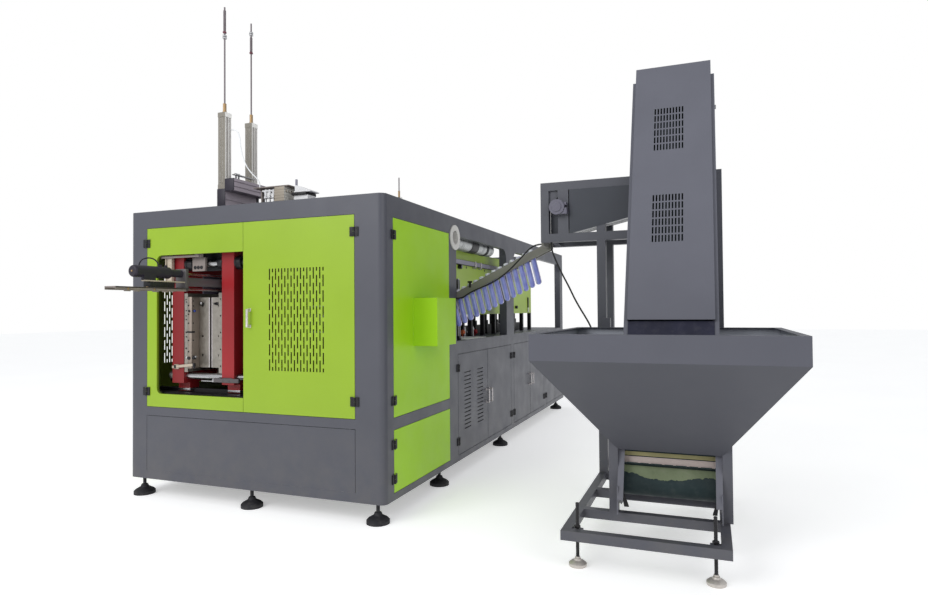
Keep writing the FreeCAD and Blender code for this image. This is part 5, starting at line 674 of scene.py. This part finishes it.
def sensor_arm():
    """The tilted arm before the left platen, and the bar before the right one that it points at."""
    tilt = Matrix.Translation((-722, 4, 946)) @ Matrix.Rotation(math.radians(-6), 4, "Y")
    arm = Shape().box(0, 196, -7, 5, -10, 10, 2.5, 2, tilt).box(-706, -668, 4, 15.2, 932, 966, 1.5)
    arm.piece("sensor_arm", "aluminium", "beige", "clamp_cage")
    tip = Shape().box(196, 214, -9, 8, -14, 12, 3, 2, tilt)
    tip.rod((205, -2, -30), UP, 6, 18, 1.5, 16, tilt)
    tip.box(-702, -682, -5, -2, 938, 962)
    tip.piece("sensor_tip", *BLACK, "clamp_cage")
    bar = Shape().box(-334, -112, -6, 13, 848, 876, 2).box(-262, -182, 12, 15.2, 844, 880)
    for x in (-250, -194):
        bar.screw((x, -6, 862), OUTWARD, 5.5, 3)
    bar.piece("platen_bar", "aluminium", "bracket", "clamp_ram")
    pointer = Shape().box(-450, -334, 0, 12, 850, 857, 1, 1).box(-345, -333, -4, 13.5, 848, 874, 1.5)
    pointer.piece("platen_pointer", "aluminium", "aluminium", "clamp_ram")


def window_parts():
    """The block and the strips that hang from the roof behind the window."""
    block = Shape().box(-543, -424, 12, 33, 1645, 1745, 2.5).box(-522, -448, 14, 22, 1744, ROOF_UNDER)
    block.piece("manifold_block", "aluminium", "shelf")
    ports = Shape()
    for x in (-516, -487, -458):
        ports.tube((x, 12.3, 1672), OUTWARD, 13, 7, 3, 0.8)
        ports.rod((x, 12.3, 1672), OUTWARD, 10, 1.2, 0.2)
    ports.box(-558, -332, 108, 116, 1650, ROOF_UNDER, 1.5)
    ports.piece("manifold_ports", *BLACK)
    hung, left = Shape(), -772
    hung.box(left, left + 11, -18, -6, 1560, ROOF_UNDER)
    hung.box(left + 22, left + 64, -20, 8, 1560, 1758, 2)
    hung.box(left + 30, left + 56, -12, 2, 1757, ROOF_UNDER)
    for z in range(1580, 1750, 28):
        hung.box(left + 20, left + 66, -21.2, -10, z, z + 5, 1, 1)
    hung.piece("window_strips", "aluminium", "beige")
    rail = Shape().box(-800, -440, -34, -24, 1744, 1760, 1.5)
    for x0, x1 in ((-800, -780), (-470, -446)):
        rail.box(x0, x1, -33, -25, 1759, ROOF_UNDER)
    rail.piece("window_rail", "aluminium", "shelf")


slide_shoes("slide_shoes_left", "clamp_cage", *LEFT_PLATEN)
slide_shoes("slide_shoes_right", "clamp_ram", *RIGHT_PLATEN)
bush_sleeves()
mould_fittings()
sensor_arm()
window_parts()


# ---- bottle take-out
TAKE_X, TAKE_TIP, BRACKET_Y = -350, -830, (-290, -264)
SHELF_X = (TAKE_X - 45, TAKE_X + 45)


def takeout_shelf():
    """The bottle shelf with its lips and side blocks, and the toothed block on it."""
    x0, x1 = SHELF_X
    shelf = Shape().box(x0, x1, TAKE_TIP, BRACKET_Y[1], 1500, 1508)
    for x in (x0, x1 - 3):
        shelf.box(x, x + 3, TAKE_TIP, BRACKET_Y[0] + 2, 1487, 1507, 0.8, 1)
    for y in (-770, -700, -560, -482):
        shelf.box(x1 - 6, x1 + 1, y, y + 46, 1478, 1490, 2)
    first = shelf.piece("takeout_shelf", "aluminium", "shelf", "takeout")
    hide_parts("takeout_arm")
    strip = Shape().box(TAKE_X + 8, TAKE_X + 40, -614, BRACKET_Y[0] + 1, 1545, 1553)
    strip.piece("takeout_strip", "aluminium", "beige", "takeout")
    block = Shape().box(TAKE_X - 20, TAKE_X + 36, -574, -374, 1507, 1546, 3)
    for y in range(-566, -382, 14):
        block.box(TAKE_X - 21, TAKE_X + 37, y, y + 5, 1510, 1543, 1, 1)
    block.piece("takeout_block", *BLACK, "takeout")


def takeout_slide():
    """Bracket, guide rods and bar that carry the shelf, the studs, and the fixed plate beside them."""
    bracket = Shape().box(*SHELF_X, *BRACKET_Y, 1490, 1640, 2.5)
    for x in (TAKE_X - 33, TAKE_X + 33):
        for z in (1512, 1618):
            bracket.screw((x, BRACKET_Y[0], z), OUTWARD, 6, 4)
            bracket.screw((x, BRACKET_Y[1], z), INWARD, 6, 4)
    bracket.piece("takeout_bracket", "aluminium", "bracket", "takeout")
    rods = Shape()
    for z in (1505, 1605):
        rods.rod((TAKE_X, BRACKET_Y[1] - 1, z), INWARD, 8, 1144, 1)
        rods.lathe((TAKE_X, BRACKET_Y[1], z), INWARD, [(8, 0), (15, 0), (15, 6), (12, 12), (8, 12)], 24)
    rods.piece("takeout_rods", "steel", "steel", "takeout")
    bar = Shape().rod((TAKE_X, BRACKET_Y[1] - 1, 1555), INWARD, 30, 1104, 2, 40)
    bar.piece("takeout_bar", "black_metal", "bracket", "takeout")
    studs = Shape()
    for y in (-742, -548):
        studs.turned((SHELF_X[1] + 0.2, y, 1494), ACROSS, [(7, 0), (7, 2), (4, 4)], 16)
    for y in (-585, -400):
        studs.turned((TAKE_X + 24, y, 1508), UP, [(7, 0), (7, 3), (4, 5)], 16)
    studs.turned((TAKE_X, -676.5, 1607), OUTWARD, [(6, 0), (6, 3), (3, 4)], 16)
    studs.piece("takeout_studs", "steel", "brass", "takeout")
    Shape().box(-413, -405.5, -24, 834, 1479, 1618).piece("takeout_back_plate", "black_metal", "dark")


takeout_shelf()
takeout_slide()


# ---- on the roof: beams, cylinders, valves, rods
ON_ROOF, ROD_X, ROD_Y = 2093.3, -450, (240, 540)
VALVE_PORTS = ((-66, 236), (-30, 236), (2, 240))


def roof_parts():
    """Dark end plugs of the beams, and the two air cylinders' grooves, plate and nuts."""
    plugs = Shape()
    plugs.box(-415.6, -330.4, 199.5, 206.5, 2257.4, 2350.6, 2.5)
    plugs.box(-487.6, -412.4, 199.5, 206.5, 2145.4, 2276.6, 2.5)
    plugs.box(-487.8, -412.2, 552, 586.5, 2145.2, 2276.8, 2.5)
    plugs.piece("beam_plugs", "black_metal", "dark")
    grooves = Shape()
    for y in ROD_Y:
        for groove_y in (y - 22, y - 8, y + 8, y + 22):
            grooves.box(-414.8, -414.2, groove_y - 1.6, groove_y + 1.6, 2362, 2822, 0)
    grooves.piece("cylinder_grooves", "aluminium", "shelf")
    Shape().box(-413, -378, 276, 504, 2392, 2399).piece("cylinder_plate", "aluminium", "aluminium")
    nuts = Shape()
    for y in (300, 330):
        nuts.nut((-396, y, 2350.2), UP, 13, 16)
        nuts.thread((-396, y, 2366), UP, 7, 34, 3, 0.8)
        nuts.nut((-396, y, 2399), UP, 11, 9)
    nuts.piece("cylinder_nuts", "aluminium", "steel")


def valve_block():
    """Valve body with cooling ribs, its dark plate, fittings, and the sloped cover beside it."""
    body = Shape().box(26, 112, 214, 332, ON_ROOF, 2256, 2.5)
    for z in range(2112, 2252, 20):
        body.box(24, 113.5, 212.5, 333.5, z, z + 10, 1.2, 1)
    for y in (240, 272, 304):
        body.rod((112, y, 2225), ACROSS, 9, 12, 1.5)
    first = body.piece("valve_body", "aluminium", "valve")
    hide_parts("valve_block")
    plate = Shape().box(-162, 152, 212, 420, 2256, 2263).box(-162, -150, 300, 340, ON_ROOF, 2257)
    plate.piece("valve_plate", "aluminium", "shelf")
    elbows, nuts = Shape(), Shape()
    for x, y in VALVE_PORTS:
        elbows.turned((x, y, 2196), UP, [(10, 0), (11, 6), (11, 44), (8, 50)], 20)
        elbows.rod((x, y, 2232), (-0.7, -0.2, 0.1), 8, 26, 1.5, 16)
        nuts.nut((x, y, 2176), UP, 15, 20)
        nuts.rod((x, y, ON_ROOF), UP, 8, 84, 1, 16)
    elbows.piece("valve_elbows", "aluminium", "elbow")
    nuts.piece("valve_nuts", "steel", "steel")
    outline = [(188, 236, 2258), (204, 236, 2258), (322, 236, 2214), (322, 236, 2207), (188, 236, 2207)]
    cover = Shape().prism(outline, (0, 110, 0)).box(180, 296, 240, 340, ON_ROOF, 2186, 1.5)
    cover.piece("regulator_cover", "aluminium", "elbow")
    base = Shape().box(166, 290, 226, 356, 2185.5, 2207.5, 3).rod((214, 222, 2196), INWARD, 9, 12, 2)
    base.piece("regulator_base", *BLACK)
    Shape().box(186, 199, 244, 258, 2257, 2304, 1.5).piece("regulator_pin", "aluminium", "lilac")


def stretch_rods():
    """Two slim rods with threaded heads, adjusting nuts and a clamp ring each."""
    rods, nuts, plum = Shape(), Shape(), Shape()
    for y, thread, ring, clamp in zip(ROD_Y, ((3480, 3648), (3442, 3560)), (3474, 3428), (3430, 3574)):
        rods.rod((ROD_X, y, 1690), UP, 6, 1984, 1, 20)
        rods.thread((ROD_X, y, thread[0]), UP, 10.5, thread[1] - thread[0], 5, 1.2)
        plum.nut((ROD_X, y, ring), UP, 15, 11)
        nuts.nut((ROD_X, y, clamp), UP, 17, 12)
        nuts.nut((ROD_X, y, clamp + 17), UP, 17, 12)
        nuts.rod((ROD_X, y, clamp + 10), UP, 9, 10, 1, 16)
    first = rods.piece("rods_slim", "black_metal", "rod", "stretching")
    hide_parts("stretch_rods")
    nuts.piece("rod_nuts", "steel", "aluminium", "stretching")
    plum.piece("rod_rings", "black_metal", "rod_nut", "stretching")


roof_parts()
valve_block()
stretch_rods()


# ---- preforms on the chute
CHUTE_Y, CHUTE_SLOPE, CHUTE_Z_AT_SIDE = 1215, math.radians(26), 1496
PREFORM_LEAN, PREFORM_PITCH, PREFORM_COUNT = math.radians(14), 51.3, 14
BODY_RADIUS, BODY_LENGTH, RING_RADIUS, RAIL_GAP = 23.4, 262, 27.5, 48


def chute_top(x):
    return CHUTE_Z_AT_SIDE + (x - SIDE_X) * math.tan(CHUTE_SLOPE)


def preforms():
    """Clear bodies and pale threaded necks, hung by their rings between the rails."""
    neck = BODY_RADIUS - 5.4
    chord = math.sqrt(RING_RADIUS ** 2 - (RAIL_GAP / 2) ** 2)
    lift = chord * math.sin(CHUTE_SLOPE - PREFORM_LEAN) + 0.4
    round_end = BODY_RADIUS - BODY_LENGTH
    body = [(neck, 0), (neck + 1, -4), (BODY_RADIUS, -26), (BODY_RADIUS, round_end)]
    for i in range(1, 9):
        turn = math.pi / 2 * i / 8
        body.append((BODY_RADIUS * math.cos(turn) if i < 8 else 0, round_end - BODY_RADIUS * math.sin(turn)))
    ring = [(neck - 3, 0.2), (RING_RADIUS, 0.2), (RING_RADIUS + 0.3, 1.6), (RING_RADIUS, 3), (neck, 3.2)]
    for z in (5, 9.6):
        ring += [(neck, z), (neck + 2.2, z + 1.2), (neck + 2.2, z + 2.6), (neck, z + 3.8)]
    ring += [(neck, 17.4), (neck - 0.8, 18), (neck - 3, 18), (neck - 3, 0.2)]
    bodies, necks = Shape(), Shape()
    for i in range(PREFORM_COUNT):
        x = SIDE_X - 58 + i * PREFORM_PITCH
        place = (Matrix.Translation((x, CHUTE_Y, chute_top(x) + lift))
                 @ Matrix.Rotation(-PREFORM_LEAN, 4, "Y"))
        bodies.lathe((0, 0, 0), UP, body[::-1], 28, place)
        necks.lathe((0, 0, 0), UP, ring, 28, place)
    first = bodies.piece("preform_bodies", "preform_plastic", "preform")
    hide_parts("preforms")
    necks.piece("preform_necks", "preform_plastic", "neck")
    clip = Shape().box(1172, 1190, 1173.5, 1179.2, 1528, 1572, 1.5)
    clip.box(1162, 1200, 1171.5, 1179.2, 1566, 1580, 1.5)
    clip.screw((1181, 1173.5, 1545), OUTWARD, 4.5, 3)
    clip.piece("chute_clip", *BLACK)


preforms()


# ---- oven bay
OVEN_FACE, ON_TABLE = 870, 1097.3


def oven_clips():
    """What is fixed to the oven cover's outer face: rail face, clips, bosses and knobs."""
    Shape().box(891.6, 893.4, 1336, 4182, 1762, 1800, 0.6, 1).piece("oven_rail_face", "rail_grey", "lilac")
    clips = Shape()
    for y in (2091, 2245):
        clips.box(OVEN_FACE, 902, y - 13, y + 13, 1738, 1752, 2)
        clips.box(894, 902, y - 13, y + 13, 1738, 1806, 2)
    for y in (1500, 2700, 3050):
        clips.nut((893.4, y, 1781), ACROSS, 9, 6)
    clips.piece("oven_clips", "aluminium", "chrome")
    dark, knob_at, knob_length = Shape(), (1714, 1737), 34
    dark.rod((OVEN_FACE, *knob_at), ACROSS, 20, knob_length, 3)
    dark.turned((OVEN_FACE, 3498, 1376), ACROSS, [(16, 0), (18, 4), (18, 22), (14, 28)])
    for y, z in ((1912, 1743), (2423, 1740), (2960, 1450)):
        dark.turned((OVEN_FACE, y, z), ACROSS, [(12, 0), (12, 1.2), (7, 2)], 20)
    dark.box(OVEN_FACE, OVEN_FACE + 12, 4012, 4040, 1372, 1496, 2)
    for y in range(1750, 3851, 350):
        dark.box(700, 760, y, y + 46, ON_TABLE, 1240, 3)
        dark.box(712, 748, y + 8, y + 38, 1239, 1304.8, 2)
    dark.piece("oven_knobs", *BLACK)
    cap = Shape().turned((OVEN_FACE + knob_length, *knob_at), ACROSS, [(13, 0), (13, 3), (9, 5)])
    cap.piece("oven_knob_cap", "steel", "lilac")


def table_fittings():
    """Pale plates and hoses, a stand, and two regulators on the oven bay's table."""
    white = Shape()
    white.box(OVEN_FACE + 1, OVEN_FACE + 16, 4018, 4036, 1312, 1371, 3)
    white.box(720, 1052, 1430, 1932, ON_TABLE - 0.1, 1102.5, 1.5)
    white.box(760, 900, 1440, 1700, 1102.4, 1112, 2)
    for y in (1990, 2210):
        white.rod((820, y, ON_TABLE), UP, 7, 92, 1.5, 16)
        white.rod((820, y, 1180), (-0.2, 0.9, -0.3), 6, 150, 1.5, 16)
    white.piece("table_plate", "aluminium", "elbow")
    stand, core_at, top = Shape(), (985, 1406), 1604
    for y in (1386, 1419):
        stand.box(972, 998, y, y + 7, ON_TABLE, top, 1.5)
    stand.box(972, 978, 1386, 1426, ON_TABLE, top)
    stand.nut((*core_at, top), UP, 13, 10)
    stand.piece("table_stand", "aluminium", "aluminium")
    core = Shape().rod((*core_at, ON_TABLE), UP, 11.5, 508, 2)
    core.box(966, 1004, 1384, 1428, ON_TABLE, 1128, 3)
    core.piece("table_stand_core", *BLACK)
    for colour, y, height in (("orange", 1950, 1140), ("red", 2290, 1136)):
        knob = Shape().turned((800, y, height), ACROSS, [(20, 0), (22, 6), (22, 26), (14, 34)])
        knob.rod((810, y, ON_TABLE), UP, 6, height - 1100, 1, 12)
        knob.piece("fitting_" + colour, "black_metal", colour)


def exhaust():
    """Pale rim with the spiral wire inside the duct's mouth, and the sleeves along the duct."""
    mouth_y, z = 1128, 1930
    rim = Shape()
    profile = [(63, 0), (100.3, 0), (100.3, 15), (97, 19.6), (88, 20.2), (70, 20.2), (64, 17), (63, 0)]
    rim.lathe((1058, mouth_y, z), ACROSS, profile, 64)
    for x in range(960, 1059, 11):
        rim.tube((x, mouth_y, z), ACROSS, 62.5, 57.5, 4.5, 1.4, 48)
    rim.piece("duct_rim", "galvanised", "rim")
    sleeves = Shape()
    for y, length in ((1716, 168), (2120, 46)):
        sleeves.tube((945, y, z), INWARD, 67.5, 64.6, length, 1, 40)
    sleeves.piece("duct_sleeves", "galvanised", "black")


oven_clips()
table_fittings()
exhaust()


# ---- feeder
LEAN, FOOT_Y, FOOT_Z = math.radians(22.66), 20, 290
# Local x across the belt, y into it, z along it, from the elevator's foot.
ON_BELT = Matrix.Translation((0, FOOT_Y, FOOT_Z)) @ Matrix.Rotation(-LEAN, 4, "X")


def feeder_feet():
    """Threaded rods with lock nuts, standing in turned pads."""
    rods, pads = Shape(), Shape()
    profile = [(45, 0), (47, 3), (47, 16), (44, 19), (34, 27), (20, 31), (17, 40), (10, 42)]
    for x in (2305, 2983):
        for y in (-235, 1300):
            rods.thread((x, y, 22), UP, 9.4, 308, 4.4, 1, 16)
            rods.nut((x, y, 136), UP, 17, 13.7)
            rods.nut((x, y, 200.3), UP, 17, 12)
            pads.turned((x, y, 0), UP, profile, 40)
            pads.nut((x, y, 41), UP, 14, 9)
    first = rods.piece("feeder_rods", *BLACK)
    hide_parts("feeder_feet")
    pads.piece("feeder_pads", "aluminium", "pad")


def belt_faces():
    """What shows of the belt in its slot: a cleat's bright face, a worn band and a pale strip."""
    cleat = Shape()
    for x0, x1 in ((2506, 2604), (2616, 2732), (2746, 2858), (2872, 2992)):
        outline = [(x0, 60.5, 216), (x1, 60.5, 216), (x1 - 14, 60.5, 251), (x0 + 14, 60.5, 251)]
        cleat.prism(outline, (0, 3, 0), ON_BELT)
        cleat.box(x0 + 20, x1 - 20, 59.6, 61, 226, 240, 0.5, 1, ON_BELT)
    cleat.box(2496, 3002, 62.8, 64.3, 213, 257, 0.4, 1, ON_BELT)
    cleat.piece("cleat_face", "steel", "cleat")
    rng = random.Random(4)
    band = Shape()
    x, drop, deep = 2494, 0, 62.6
    edge = []
    while x < 3000:
        edge.append((x, 168 - drop - 22 * max(0, math.sin((x - 2560) / 120))))
        drop = min(16, max(0, drop + rng.uniform(-5, 5)))
        x += rng.uniform(4, 11)
    edge.append((3004, 160 - drop))
    for (xa, a), (xb, b) in zip(edge, edge[1:]):
        band.prism([(xa, deep, a), (xb, deep, b), (xb, deep, 206), (xa, deep, 206)], (0, 1.7, 0), ON_BELT)
    band.piece("belt_band", "belt_green", "olive")
    Shape().box(2494, 3004, 62.4, 64.3, 262, 284, 0.4, 1, ON_BELT).piece("belt_strip", "belt_green", "straw")


def casing_details():
    gussets = Shape()
    for xs in ((2494, 2508, 2532, 2506), (2990, 3004, 2994, 2970)):
        gussets.prism([(x, 88, z) for x, z in zip(xs, (308, 308, 236, 236))], (0, 12, 0))
    gussets.piece("casing_gussets", *BLACK)
    knob = Shape().turned((3045, 212.3, 361.4), ACROSS, [(13, 0), (14, 2), (14, 12), (11, 16)])
    knob.piece("drum_knob", "steel", "black", "drum_low")
    screws = Shape()
    for along in range(1120, 2795, 186):
        for x in (2509, 2989):
            screws.screw((x, -4, along), OUTWARD, 4.5, 2.5, ON_BELT)
    screws.piece("cover_screws", "steel", "steel")


def bin_liner_painted_light():
    """Painted light: a pale sheet on the inner faces of the bin's upright band, lighter than the bin's paint
    so that its shaded inside looks brighter.
    """
    x0, x1, y0, y1, thin, sunk = 2111, 3384, -444, 841, 0.8, 0.2
    painted_light_liner = Shape()
    for span in ((x0, x1, y1 - thin, y1 + sunk), (x0, x1, y0 - sunk, y0 + thin),
                 (x0 - sunk, x0 + thin, y0 + thin, y1 - thin), (x1 - thin, x1 + sunk, y0 + thin, y1 - thin)):
        painted_light_liner.box(*span, 1090, 1218.6, 0)
    painted_light_liner.piece("bin_liner_painted_light", "feeder_paint", "painted_light_liner")


def side_sheets():
    """The sheet over the sorter's side, and the backing behind the first cabinet door's louvres."""
    corners = ((2037, 2213), (2474, 2213), (2474, 1992), (2062, 1898), (2037, 1898))
    sheet = Shape().prism([(x, 948.9, z) for x, z in corners], (0, -1.4, 0))
    sheet.piece("sorter_side_sheet", "frame_paint", "panel")
    Shape().box(1056, 1062, 1300, 1810, 350, 850).piece("louvre_backing", *BLACK, "cabinet_1")


feeder_feet()
belt_faces()
casing_details()
bin_liner_painted_light()
side_sheets()


# ---- the three cords
def cord(name, points_mm, radius_mm, material, node):
    data = bpy.data.curves.new(name, "CURVE")
    data.dimensions = "3D"
    data.bevel_depth = radius_mm * MM
    data.bevel_resolution = 4
    data.resolution_u = 12
    spline = data.splines.new("NURBS")
    spline.points.add(len(points_mm) - 1)
    for point, place in zip(spline.points, points_mm):
        point.co = (*(c * MM for c in place), 1)
    spline.order_u = 3
    spline.use_endpoint_u = True
    data.use_fill_caps = True
    data.materials.append(M[material])
    piece = placed(name, data)
    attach(piece, "machine")
    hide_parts(node)
    return piece


CHUTE_CABLE = [(1070.3, 1150, 1442), (1125, 1150, 1442), (1172, 1150, 1476), (1230, 1150, 1505),
               (1300, 1150, 1530), (1372, 1150, 1558), (1449, 1148, 1601), (1524, 1146, 1658),
               (1584, 1141, 1714), (1640, 1132, 1768), (1700, 1116, 1820), (1757, 1100, 1842),
               (1813, 1100, 1842)]
FEEDER_CABLE = [(1896, 979, 1837.7), (1896, 979, 1790), (1915, 973, 1740), (1946, 965, 1668),
                (1985, 956, 1590), (2030, 946, 1508), (2072, 937, 1420), (2117, 932, 1342),
                (2158, 929, 1276), (2185, 928, 1224), (2197, 927, 1185), (2197, 927, 1148.3)]
AIR_HOSE = [(-414.7, 265, 2735), (-374.7, 265, 2735), (-345, 265, 2710), (-330, 265, 2668),
            (-322, 265, 2590), (-300, 265, 2508), (-262, 265, 2434), (-212, 265, 2380),
            (-166, 265, 2341), (-143, 265, 2303), (-143, 265, 2266.3)]
cord("cord_chute", CHUTE_CABLE, 6, "cable", "chute_cable")
cord("cord_feeder", FEEDER_CABLE, 6, "cable", "feeder_cable")
cord("hose_air", AIR_HOSE, 4.5, "hose", "air_hose")


# ---- floor, lights, background
def make_stage():
    n = Nodes("floor_pale", roughness=0.9, specular=0.1)
    tone = n.mix(n.spread(n.noise(0.8, 4.0), 0.3, 0.7), (0.88, 0.88, 0.885, 1), (0.92, 0.92, 0.92, 1))
    n.finish(tone)
    n.shader.inputs["Emission Color"].default_value = (1, 1, 1, 1)
    n.shader.inputs["Emission Strength"].default_value = 0.40
    mesh = bpy.data.meshes.new("floor")
    reach = 40.0
    mesh.from_pydata([(-reach, -reach, 0), (reach, -reach, 0), (reach, reach, 0), (-reach, reach, 0)],
                     [], [(0, 1, 2, 3)])
    mesh.materials.append(n.material)
    floor = placed("floor", mesh)

    world = bpy.data.worlds.new("world")
    bpy.context.scene.world = world
    world.use_nodes = True
    tree = world.node_tree
    tree.nodes.clear()
    out = tree.nodes.new("ShaderNodeOutputWorld")
    mixed = tree.nodes.new("ShaderNodeMixShader")
    tree.links.new(mixed.outputs[0], out.inputs[0])
    for socket, colour, strength in ((1, (0.96, 0.98, 1.0, 1), 0.64), (2, (1, 1, 1, 1), 1.0)):
        light = tree.nodes.new("ShaderNodeBackground")
        light.inputs["Color"].default_value = colour
        light.inputs["Strength"].default_value = strength
        tree.links.new(light.outputs[0], mixed.inputs[socket])
    path = tree.nodes.new("ShaderNodeLightPath")
    seen = tree.nodes.new("ShaderNodeMath")
    seen.operation = "MAXIMUM"
    tree.links.new(path.outputs["Is Camera Ray"], seen.inputs[0])
    tree.links.new(path.outputs["Is Transmission Ray"], seen.inputs[1])
    tree.links.new(seen.outputs[0], mixed.inputs[0])

    for name, place, aim, size, power in (
            ("key", (-2.5, -7.0, 5.5), (0.3, 0.0, 1.2), 5.0, 350.0),
            ("fill", (7.5, -3.0, 4.0), (1.5, 1.5, 1.2), 4.0, 90.0)):
        data = bpy.data.lights.new(name, "AREA")
        data.shape = "SQUARE"
        data.size = size
        data.energy = power
        lamp = placed(name, data)
        lamp.location = place
        lamp.rotation_euler = (Vector(aim) - Vector(place)).to_track_quat("-Z", "Y").to_euler()
    bpy.context.scene.view_settings.view_transform = "Standard"


make_stage()
